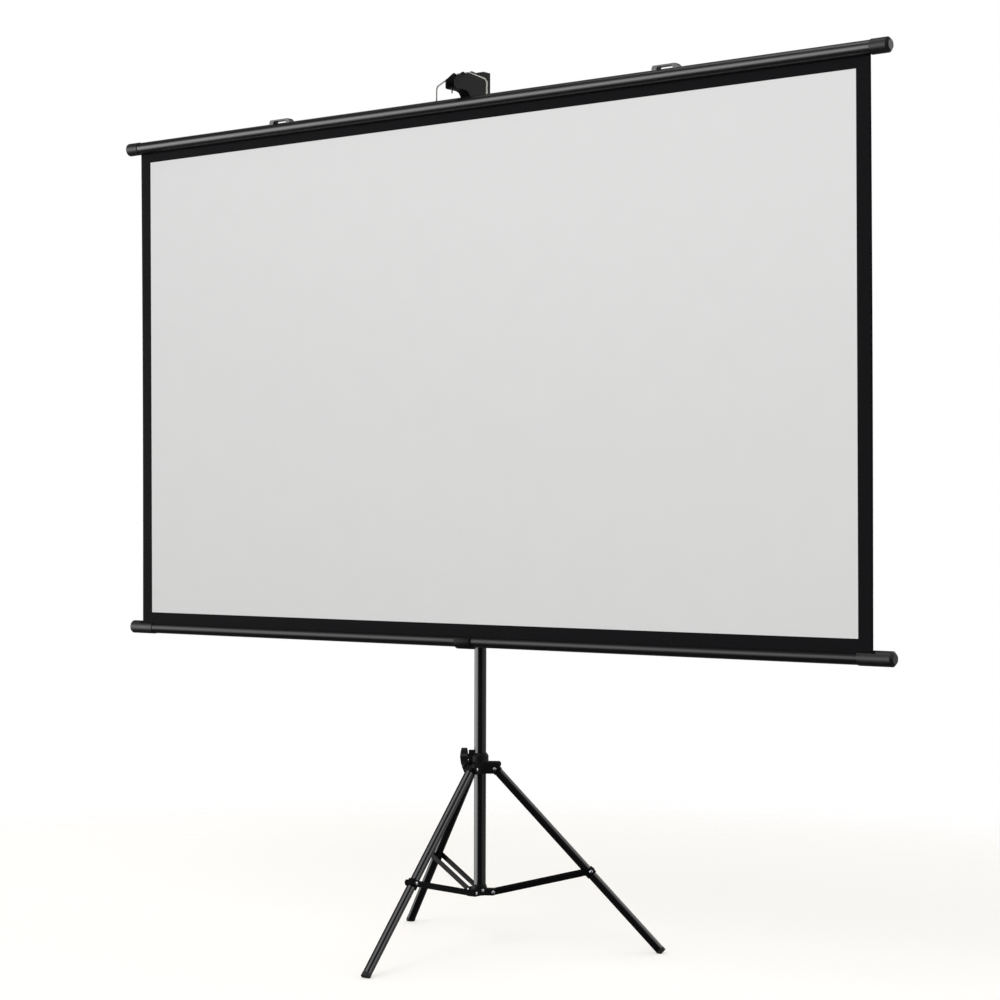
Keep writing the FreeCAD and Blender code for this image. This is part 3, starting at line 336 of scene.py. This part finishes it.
# Screen cloth: coated glass-fibre cloth, matt white in front with a black border printed on, and a
# black backing that stops light. It hangs from the top bar's slot and its edges curl back slightly.
CLOTH_WHITE = "#DBDBDB"
CLOTH_BORDER = "#101012"
CLOTH_BACK = "#131315"
COAT_CLOUD_MM, COAT_SHADE = 90.0, 0.97
CLOTH_THICKNESS = 0.5 * mm
SIDE_BORDER = 37 * mm
TOP_LINE = 27.5 * mm
BOTTOM_LINE = 42 * mm
EDGE_CURL = 2.2 * mm
CURL_REACH = 60 * mm
CLOTH_WAVE = 0.8 * mm
WAVES_ACROSS, WAVES_UP = 2.5, 0.35
COLUMN_STEPS, ROW_STEPS = (6, 168, 6), (5, 104, 4)
# Real threads lie about half a millimetre apart, too fine to show, so they are drawn coarser.
WEAVE_MM, WEAVE_HEIGHT = 1.2, 0.08 * mm
DOUBLED = 0.001 * mm


def grid_faces(rows, columns, ring=False):
    """Quads between neighbouring points of a grid; a ring also joins the last column to the first."""
    row = np.arange(rows - 1)[:, None] * columns
    column = np.arange(columns if ring else columns - 1)[None, :]
    beside = (column + 1) % columns
    quads = [row + column, row + beside, row + columns + beside, row + columns + column]
    return np.stack(quads, axis=-1).reshape(-1, 4)


def add_piece(name, points, faces, materials, body, solid=True):
    """A smooth mesh on a body. A solid one has its doubled points merged and its faces turned out."""
    mesh = bpy.data.meshes.new(name)
    mesh.from_pydata(points.reshape(-1, 3).tolist(), [], faces.tolist())
    if solid:
        shell = bmesh.new()
        shell.from_mesh(mesh)
        bmesh.ops.remove_doubles(shell, verts=shell.verts, dist=DOUBLED)
        bmesh.ops.recalc_face_normals(shell, faces=shell.faces)
        shell.to_mesh(mesh)
        shell.free()
    mesh.polygons.foreach_set("use_smooth", np.ones(len(mesh.polygons), bool))
    for material in materials:
        mesh.materials.append(material)
    made = bpy.data.objects.new(name, mesh)
    bpy.context.collection.objects.link(made)
    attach(made, body)
    return made


cloth_low, cloth_high = (np.array(corner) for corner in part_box("screen_fabric"))
cloth_width = cloth_high[0] - cloth_low[0]
cloth_rise = cloth_high[2] - cloth_low[2]


def stops(counts, *places):
    """Places from the first to the last, with a count of even steps between each and the next."""
    spans = zip(counts, places, places[1:])
    runs = [np.linspace(start, end, count, endpoint=False) for count, start, end in spans]
    return np.concatenate(runs + [np.array(places[-1:])])


# Columns and rows of the grid lie on the lines where the printed border meets the white area.
columns = stops(COLUMN_STEPS, 0.0, SIDE_BORDER, cloth_width - SIDE_BORDER, cloth_width)
rows = stops(ROW_STEPS, 0.0, BOTTOM_LINE, cloth_rise - TOP_LINE, cloth_rise)
across, height = columns[None, :] / cloth_width, rows[:, None] / cloth_rise
# The sheet lies in the plane between the slots. Its side edges curl back most at half height, as the
# square of the closeness to the edge, and long shallow waves cross it that die out at both bars.
slack = np.sin(math.pi * height)
from_edge = np.minimum(across, 1 - across) * cloth_width
curl = EDGE_CURL * slack * np.clip(1 - from_edge / CURL_REACH, 0, 1) ** 2
phase = 2 * math.pi * (WAVES_ACROSS * across + WAVES_UP * height)
waves = CLOTH_WAVE * slack * np.sin(phase) * np.sin(math.pi * across)
lean = cloth_low[1] - cloth_high[1] + CLOTH_THICKNESS
front_y = cloth_high[1] - CLOTH_THICKNESS / 2 + lean * height
cloth_points = np.stack([
    cloth_low[0] + cloth_width * across + 0 * height,
    front_y + curl + waves,
    cloth_low[2] + cloth_rise * height + 0 * across], axis=-1)


def woven(name, colour, roughness, specular, relief_strength):
    """A cloth's coat: a nearly even colour over a plain weave, whose warp and weft are bands. The scale
    makes a band repeat after two threads, as in a plain weave."""
    coat, tree, shader = new_material(name, Roughness=roughness, Specular_IOR_Level=specular)
    place = add_node(tree, "ShaderNodeUVMap", uv_map="cloth")
    bands = {"Vector": place.outputs[0], "Scale": 0.5 / (WEAVE_MM * mm) / math.pi}
    warp = add_node(tree, "ShaderNodeTexWave", bands, bands_direction="X")
    weft = add_node(tree, "ShaderNodeTexWave", bands, bands_direction="Y")
    weave = add_node(tree, "ShaderNodeMath", {
        0: warp.outputs["Fac"], 1: weft.outputs["Fac"]}, operation="MULTIPLY")
    cloud = add_node(tree, "ShaderNodeTexNoise", {
        "Vector": place.outputs[0], "Scale": 1 / (COAT_CLOUD_MM * mm), "Detail": 2.0})
    shade = tuple(channel * COAT_SHADE for channel in linear(colour)[:3]) + (1.0,)
    tone = add_node(tree, "ShaderNodeMix", {
        0: cloud.outputs["Fac"], 6: linear(colour), 7: shade}, data_type="RGBA")
    relief = add_node(tree, "ShaderNodeBump", {
        "Height": weave.outputs[0], "Strength": relief_strength, "Distance": WEAVE_HEIGHT})
    tree.links.new(tone.outputs[2], shader.inputs["Base Color"])
    tree.links.new(relief.outputs[0], shader.inputs["Normal"])
    return coat


def finish_sheet(sheet, flat, backing):
    """Gives a sheet its flat pattern as UVs, and its thickness. The backing is how many slots further
    on the far side's materials are."""
    corner_points = np.empty(len(sheet.data.loops), int)
    sheet.data.loops.foreach_get("vertex_index", corner_points)
    uv_map = sheet.data.uv_layers.new(name="cloth")
    uv_map.data.foreach_set("uv", flat.reshape(-1, 2)[corner_points].ravel())
    wall = sheet.modifiers.new("cloth thickness", "SOLIDIFY")
    wall.thickness = CLOTH_THICKNESS
    wall.offset = 0
    wall.material_offset = backing
    wall.material_offset_rim = backing


cloth_front = woven(
    "matt white screen cloth", CLOTH_WHITE, roughness=0.92, specular=0.2, relief_strength=0.1)
cloth_border = woven(
    "black border printed on cloth", CLOTH_BORDER, roughness=0.7, specular=0.04, relief_strength=0.25)
cloth_back = woven(
    "black coated cloth backing", CLOTH_BACK, roughness=0.7, specular=0.3, relief_strength=0.4)
screen_cloth = add_piece("screen_cloth", cloth_points, grid_faces(len(rows), len(columns)),
                         (cloth_front, cloth_border, cloth_back, cloth_back), "carriage", solid=False)
middle_x, middle_z = (columns[1:] + columns[:-1])[None, :] / 2, (rows[1:] + rows[:-1])[:, None] / 2
at_sides = np.abs(middle_x - cloth_width / 2) > cloth_width / 2 - SIDE_BORDER
at_ends = (middle_z < BOTTOM_LINE) | (middle_z > cloth_rise - TOP_LINE)
screen_cloth.data.polygons.foreach_set("material_index", (at_sides | at_ends).astype(int).ravel())
flat = np.stack([cloth_width * across + 0 * height, cloth_rise * height + 0 * across], axis=-1)
finish_sheet(screen_cloth, flat, backing=2)
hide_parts("screen_fabric")
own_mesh(screen_cloth)

# Roll of cloth in the case: what is left on the roller, a few turns of the same sheet. They are the
# black leader below the white area, printed face outward, and the sheet leaves the roll in front.
ROLL_TURNS = 2.0
ROLL_STEPS, ROLL_COLUMNS = 97, 13
ROLL_GAP = 0.1 * mm

roller_low, roller_high = (np.array(corner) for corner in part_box("roller_tube"))
wraps_low, wraps_high = (np.array(corner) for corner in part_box("fabric_wraps"))
case_axis = (roller_low + roller_high) / 2 * (0, 1, 1)
core_radius = (roller_high[1] - roller_low[1]) / 2 + CLOTH_THICKNESS / 2 + ROLL_GAP
wraps_radius = (wraps_high[1] - wraps_low[1]) / 2 - CLOTH_THICKNESS / 2
# A spiral: the angle grows evenly along the cloth, and the radius grows with the angle.
share = np.linspace(0, 1, ROLL_STEPS)
angle = 2 * math.pi * ROLL_TURNS * (share - 1) - math.pi / 2
radius = core_radius + (wraps_radius - core_radius) * share
along = np.linspace(wraps_low[0], wraps_high[0], ROLL_COLUMNS)[:, None]
roll_points = np.stack([
    along + 0 * share,
    case_axis[1] + radius * np.sin(angle) + 0 * along,
    case_axis[2] + radius * np.cos(angle) + 0 * along], axis=-1)
cloth_roll = add_piece("cloth_roll", roll_points, grid_faces(ROLL_COLUMNS, ROLL_STEPS),
                       (cloth_border, cloth_back), "roller", solid=False)
wound = np.concatenate([[0], np.cumsum(np.hypot(np.diff(radius), radius[1:] * np.diff(angle)))])
flat = np.stack([along - wraps_low[0] + 0 * wound, wound + 0 * along], axis=-1)
finish_sheet(cloth_roll, flat, backing=1)
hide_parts("fabric_wraps")

# Roller spring: a torsion spring of oil-tempered wire, wound open on the rod. One end turns with the
# roller and the other is held by the anchor, so it pulls the cloth back in.
SPRING_WIRE = 1.6 * mm
SPRING_PITCH = 3.2 * mm
STEPS_A_TURN = 18
WIRE_SIDES = 8
TEMPERED_BROWN = "#4A4541"
TEMPERED_BLUE = "#5E6066"
TEMPER_MM = 9.0

tempered_wire = mottled("oil tempered spring wire", (TEMPERED_BROWN, TEMPERED_BLUE), (0.3, 0.45),
                        {"Scale": 1 / (TEMPER_MM * mm), "Detail": 2.0}, Metallic=1.0)


def wire_points(path, radius, side, sides):
    """Rings of points round a path: the side direction times the cosine, and the direction square to
    it and to the path times the sine, both by the radius. The two end rings shrink to points."""
    step = np.gradient(path, axis=0)
    step /= np.linalg.norm(step, axis=1, keepdims=True)
    side = np.broadcast_to(side, path.shape)
    other = np.cross(step, side)
    turn = np.linspace(0, 2 * math.pi, sides, endpoint=False)
    rings = side[:, None] * np.cos(turn)[None, :, None] + other[:, None] * np.sin(turn)[None, :, None]
    points = path[:, None] + radius * rings
    start, end = (np.repeat(point[None, None], sides, axis=1) for point in (path[0], path[-1]))
    return np.concatenate([start, points, end])


spring_low, spring_high = (np.array(corner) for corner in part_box("roller_spring"))
spring_radius = (spring_high[1] - spring_low[1]) / 2 - SPRING_WIRE / 2
spring_length = spring_high[0] - spring_low[0] - SPRING_WIRE
turns = spring_length / SPRING_PITCH
# A helix about the case's axis: the angle and the place along the rod grow together.
share = np.linspace(0, 1, int(turns * STEPS_A_TURN))
angle = 2 * math.pi * turns * share
outward = np.stack([0 * angle, np.cos(angle), np.sin(angle)], axis=-1)
helix = case_axis + spring_radius * outward
helix[:, 0] = spring_low[0] + SPRING_WIRE / 2 + spring_length * share
points = wire_points(helix, SPRING_WIRE / 2, outward, WIRE_SIDES)
coil_spring = add_piece("coil_spring", points, grid_faces(len(points), WIRE_SIDES, ring=True),
                        (tempered_wire,), "carriage")
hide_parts("roller_spring")

# Bail: spring wire, bent cold and nickel plated, sprung into two holes in the top bar. It hooks over
# the keystone arm's notch. Drawing leaves it bright, with lines along the wire too fine to see.
NICKEL_BRIGHT = "#94928D"
NICKEL_SHADE = "#7C7A76"
BAIL_WIRE, BAIL_SIDES = 4 * mm, 20
BAIL_LEG, BAIL_FLAT_HALF = 80 * mm, 25 * mm
BAIL_FOOT = 12 * mm
SHOULDER_BELOW_TOP = 23.5 * mm
BAIL_BEND, BEND_STEPS = 9 * mm, 9

nickel_wire = mottled("nickel plated spring wire", (NICKEL_BRIGHT, NICKEL_SHADE), (0.22, 0.36),
                      {"Scale": 1 / (PATCH_MM * mm), "Detail": 3.0}, Metallic=1.0)


def bent_path(corners, bend, steps):
    """A path through corners. Each inner one becomes a curve: the point at t is (1-t)^2 of the place a
    bend before the corner, 2t(1-t) of the corner and t^2 of the place a bend after it."""
    corners = np.array(corners)
    t = np.linspace(0, 1, steps)[:, None]
    runs = [corners[:1]]
    for before, corner, after in zip(corners, corners[1:], corners[2:]):
        start = corner + (before - corner) / np.linalg.norm(before - corner) * bend
        end = corner + (after - corner) / np.linalg.norm(after - corner) * bend
        runs.append((1 - t) ** 2 * start + 2 * t * (1 - t) * corner + t ** 2 * end)
    return np.concatenate(runs + [corners[-1:]])


bail_low, bail_high = (np.array(corner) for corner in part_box("bail"))
bail_y = (bail_low[1] + bail_high[1]) / 2
foot_z = bail_low[2] + BAIL_WIRE / 2
crown_z = bail_high[2] - BAIL_WIRE / 2
right_half = [(BAIL_FLAT_HALF, bail_y, crown_z), (BAIL_LEG, bail_y, crown_z - SHOULDER_BELOW_TOP),
              (BAIL_LEG, bail_y, foot_z), (BAIL_LEG + BAIL_FOOT, bail_y, foot_z)]
left_half = [(-x, y, z) for x, y, z in reversed(right_half)]
bail_path = bent_path(left_half + right_half, BAIL_BEND, BEND_STEPS)
points = wire_points(bail_path, BAIL_WIRE / 2, np.array((0.0, 1.0, 0.0)), BAIL_SIDES)
wire_bail = add_piece("wire_bail", points, grid_faces(len(points), BAIL_SIDES, ring=True),
                      (nickel_wire,), "upper_mast")
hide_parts("bail")

# Rivet heads: solid rivets, domed by the setting tool and zinc plated. They close the leg and brace
# pivots, hold the lower hub on the mast, and fix the hangers to the top bar.
LEG_TURN = 2.5
LEG_PIVOT_RADIUS, LEG_PIVOT_HEIGHT = 38 * mm, 452 * mm
LEG_PIN_FACE = 19 * mm
FOOT_CIRCLE, FOOT_AXIS_HEIGHT = 449 * mm, 8.1 * mm
BRACE_ALONG_LEG, BRACE_OUTSIDE = 348 * mm, 6 * mm
BRACE_PIVOT_RADIUS, BRACE_PIVOT_HEIGHT = 35.6 * mm, 145 * mm
BRACE_FACE = 15.4 * mm
LOWER_HUB_RADIUS, HUB_RIVET_HEIGHT = 18 * mm, 149 * mm
HEAD_RADIUS, HEAD_HEIGHT = 4.6 * mm, 2.4 * mm
HEAD_SEGMENTS, HEAD_RINGS = 24, 7
HUB_RIVET_SUNK, HANGER_RIVET_SUNK = 0.3 * mm, 0.2 * mm
HANGER_SPOT, PAD_SPOT, PAD_ABOVE_BAR = 610 * mm, 29.5 * mm, 3.5 * mm
HANGER_HEAD_RADIUS, HANGER_HEAD_HEIGHT = 3.4 * mm, 1.3 * mm
leg_azimuths = [math.radians(LEG_TURN - 90 + 120 * step) for step in range(3)]
leg_lean = math.atan2(FOOT_CIRCLE - LEG_PIVOT_RADIUS, LEG_PIVOT_HEIGHT - FOOT_AXIS_HEIGHT)


def turned_points(profile, start, along, segments):
    """A profile of (distance, radius) pairs carried round an axis: a point is the start, plus the
    distance along the axis, plus the radius along a direction that turns square to the axis."""
    along = np.array(along) / np.linalg.norm(along)
    side = np.cross(along, (0.0, 0.0, 1.0) if abs(along[2]) < 0.9 else (1.0, 0.0, 0.0))
    side /= np.linalg.norm(side)
    other = np.cross(along, side)
    turn = np.linspace(0, 2 * math.pi, segments, endpoint=False)
    rings = side * np.cos(turn)[:, None] + other * np.sin(turn)[:, None]
    distance, radius = np.array(profile).T
    return np.array(start) + distance[:, None, None] * along + radius[:, None, None] * rings


def at_azimuth(azimuth, radius, sideways, height):
    """The place at a radius from the mast and a distance to the side, at a height."""
    outward = np.array((math.cos(azimuth), math.sin(azimuth), 0))
    beside = np.array((-math.sin(azimuth), math.cos(azimuth), 0))
    return mast_axis + radius * outward + sideways * beside + np.array((0, 0, height))


def rivet_heads(name, places, radius, height, body):
    """Domes on a face: the profile is a quarter of an ellipse, closed at the base."""
    angle = np.linspace(0, math.pi / 2, HEAD_RINGS)
    profile = [(0, 0)] + list(zip(height * np.sin(angle), radius * np.cos(angle)))
    domes = [turned_points(profile, start, along, HEAD_SEGMENTS) for start, along in places]
    faces = grid_faces(len(profile), HEAD_SEGMENTS, ring=True)
    shift = np.arange(len(domes))[:, None, None] * len(profile) * HEAD_SEGMENTS
    made = add_piece(name, np.concatenate(domes), (faces + shift).reshape(-1, 4), (zinc_plate,), body)


def pair_across(azimuth, radius, height, face):
    """Both ends of a pin square to a leg's plane, as (start, direction) pairs."""
    beside = np.array((-math.sin(azimuth), math.cos(azimuth), 0))
    return [(at_azimuth(azimuth, radius, side * face, height), side * beside) for side in (-1, 1)]


leg_pin_ends = [end for azimuth in leg_azimuths
                for end in pair_across(azimuth, LEG_PIVOT_RADIUS, LEG_PIVOT_HEIGHT, LEG_PIN_FACE)]
rivet_heads("leg_pin_heads", leg_pin_ends, HEAD_RADIUS, HEAD_HEIGHT, "hub")
brace_pin_ends = [end for azimuth in leg_azimuths
                  for end in pair_across(azimuth, BRACE_PIVOT_RADIUS, BRACE_PIVOT_HEIGHT, BRACE_FACE)]
rivet_heads("brace_pin_heads", brace_pin_ends, HEAD_RADIUS, HEAD_HEIGHT, "mast")
# The braces' pivots on the legs lie down the leaning leg from its own pivot, and a little outside it.
lean_sine, lean_cosine = math.sin(leg_lean), math.cos(leg_lean)
joint_radius = LEG_PIVOT_RADIUS + BRACE_ALONG_LEG * lean_sine + BRACE_OUTSIDE * lean_cosine
joint_height = LEG_PIVOT_HEIGHT - BRACE_ALONG_LEG * lean_cosine + BRACE_OUTSIDE * lean_sine
for number, azimuth in enumerate(leg_azimuths, 1):
    ends = pair_across(azimuth, joint_radius, joint_height, BRACE_FACE)
    rivet_heads(f"brace_rivet_heads_{number}", ends, HEAD_RADIUS, HEAD_HEIGHT, f"brace_{number}")
# The lower hub's own rivet is halfway between the first two legs.
fixing = (leg_azimuths[0] + leg_azimuths[1]) / 2
fixing_place = at_azimuth(fixing, LOWER_HUB_RADIUS - HUB_RIVET_SUNK, 0, HUB_RIVET_HEIGHT)
fixing_end = (fixing_place, (math.cos(fixing), math.sin(fixing), 0))
rivet_heads("hub_rivet_head", [fixing_end], HEAD_RADIUS, HEAD_HEIGHT, "mast")
hanger_low, hanger_high = (np.array(corner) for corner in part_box("hanger_right"))
hanger_y = (hanger_low[1] + hanger_high[1]) / 2
rivet_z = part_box("top_bar")[1][2] + PAD_ABOVE_BAR - HANGER_RIVET_SUNK
hanger_ends = [((side * HANGER_SPOT + spot * PAD_SPOT, hanger_y, rivet_z), (0, 0, 1))
               for side in (-1, 1) for spot in (-1, 1)]
rivet_heads("hanger_rivet_heads", hanger_ends, HANGER_HEAD_RADIUS, HANGER_HEAD_HEIGHT, "upper_mast")

# Wing knobs: black nylon moulded over a zinc plated screw. Two deep wings spread from a short round
# neck, and their outer face swells in the middle. The screw bears on the tube and clamps it.
KNOB_NECK_RADIUS = 7 * mm
KNOB_NECK = 6 * mm
KNOB_DEPTH = 16 * mm
WING_HALF_SPAN = 22 * mm
WING_HALF_THICKNESS = 4.5 * mm
WING_ROOT = 2.5 * mm
WING_ROUND, ROUND_STEPS, ROUND_INSET = 1.6 * mm, 5, 1.6
WING_POWER, BLEND_POWER = 3.2, 6
SWELL, SWELL_POWER = 3 * mm, 1.5
KNOB_GAP, NECK_CHAMFER, NECK_INSET = 0.3 * mm, 0.6 * mm, 0.92
KNOB_SEGMENTS = 96
# How far up the wings' depth a section lies, and how far its half span has grown from the neck's. The
# outer face then closes in rings of smaller scale.
WING_GROWTH = ((0.03, 0.45), (0.06, 0.75), (0.10, 0.92), (0.16, 1.0), (0.36, 1.0), (0.60, 1.0), (0.80, 1.0))
CLOSING = (0.75, 0.5, 0.25, 0.0)
SCREW_RADIUS, THREAD_DEPTH, THREAD_PITCH = 3 * mm, 0.35 * mm, 1.0 * mm
THREAD_STEPS, SCREW_SIDES = 4, 24


def knob_points(azimuth, face, height):
    """A knob round an outward axis. A section's radius is the soft maximum of the neck's circle and the
    wings' superellipse, whose half span grows along the axis. The wings' tips stand back from the
    middle by the swell times the share of the half span to a power."""
    turn = np.linspace(0, 2 * math.pi, KNOB_SEGMENTS, endpoint=False)[None, :]
    start, end = KNOB_GAP, KNOB_NECK + KNOB_DEPTH
    # A row is a section: its place along the axis, its scale and how far its wings have grown.
    rows = [(start, 0.0, 0.0), (start, NECK_INSET, 0.0),
            (start + NECK_CHAMFER, 1.0, 0.0), (WING_ROOT, 1.0, 0.0)]
    rows += [(WING_ROOT + (end - WING_ROOT) * share, 1.0, grown) for share, grown in WING_GROWTH]
    rows += [(end - WING_ROUND * (1 - math.sin(bend)),
              1 - WING_ROUND / WING_HALF_SPAN * (1 - math.cos(bend)) * ROUND_INSET, 1.0)
             for bend in np.linspace(0, math.pi / 2, ROUND_STEPS)]
    rows += [(end, scale, 1.0) for scale in CLOSING]
    along, scale, grown = (np.array(column)[:, None] for column in zip(*rows))
    half_span = KNOB_NECK_RADIUS + (WING_HALF_SPAN - KNOB_NECK_RADIUS) * grown
    spread = np.abs(np.cos(turn) / half_span) ** WING_POWER
    thickness = np.abs(np.sin(turn) / WING_HALF_THICKNESS) ** WING_POWER
    wing = np.where(grown > 0, (spread + thickness) ** (-1 / WING_POWER), 0)
    radius = (wing ** BLEND_POWER + KNOB_NECK_RADIUS ** BLEND_POWER) ** (1 / BLEND_POWER) * scale
    up_down = radius * np.cos(turn)
    sideways = radius * np.sin(turn)
    back = SWELL * np.clip((along - WING_ROOT) / (end - WING_ROOT), 0, 1) ** 2
    outward = along - back * np.clip(np.abs(up_down) / WING_HALF_SPAN, 0, 1) ** SWELL_POWER
    ahead = np.array((math.cos(azimuth), math.sin(azimuth), 0))
    beside = np.array((-math.sin(azimuth), math.cos(azimuth), 0))
    centre = mast_axis + np.array((0, 0, height))
    return (centre + (face + outward)[..., None] * ahead + sideways[..., None] * beside
            + up_down[..., None] * np.array((0, 0, 1.0)))


def screw_points(azimuth, tip, end, height):
    """A threaded shank: the radius is the full one less the thread's depth times a triangle wave."""
    distance = np.arange(0, end - tip, THREAD_PITCH / THREAD_STEPS)
    wave = np.abs((distance / THREAD_PITCH) % 1 - 0.5) * 2
    radius = SCREW_RADIUS - THREAD_DEPTH * wave
    profile = [(0, 0)] + list(zip(distance, radius)) + [(distance[-1], 0)]
    ahead = (math.cos(azimuth), math.sin(azimuth), 0)
    return turned_points(profile, at_azimuth(azimuth, tip, 0, height), ahead, SCREW_SIDES)


# Each knob's name, azimuth, the radius of the face it stands off, of its screw's tip, height and body.
KNOBS = (
    ("mast_lock", 90.0, 27.1 * mm, 15.3 * mm, 1214 * mm, "lock_knob"),
    ("hub", LEG_TURN - 150, 28 * mm, 15.3 * mm, 480.5 * mm, "hub_knob"),
    ("clamp", 90.0, 29.6 * mm, 16.8 * mm, 809 * mm, "clamp_knob"),
)
for name, degrees, face, tip, height, body in KNOBS:
    azimuth = math.radians(degrees)
    points = knob_points(azimuth, face, height)
    wings = add_piece(f"{name}_wing_knob", points, grid_faces(len(points), KNOB_SEGMENTS, ring=True),
                      (moulded_black,), body)
    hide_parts("mast_lock_knob" if name == "mast_lock" else f"{name}_knob")
    points = screw_points(azimuth, tip, face + KNOB_NECK, height)
    screw = add_piece(f"{name}_knob_screw", points, grid_faces(len(points), SCREW_SIDES, ring=True),
                      (zinc_plate,), body)

# Feet: black rubber plugs pushed into the ends of the legs, with a rim that the leg stands on. Rubber
# is dull, and takes up dust, which greys it in small specks.
RUBBER_BLACK = "#0E0E0E"
RUBBER_GREYED = "#1B1B1A"
SPECK_MM, SPECK_HEIGHT = 2.0, 0.1 * mm

foot_rubber = mottled("moulded black rubber", (RUBBER_BLACK, RUBBER_GREYED), (0.6, 0.85),
                      {"Scale": 1 / (SPECK_MM * mm), "Detail": 4.0}, relief=(0.3, SPECK_HEIGHT),
                      IOR=1.52, Specular_IOR_Level=0.35)
finish_nodes(foot_rubber, "leg_foot_1", "leg_foot_2", "leg_foot_3", edge=EDGE_MM)
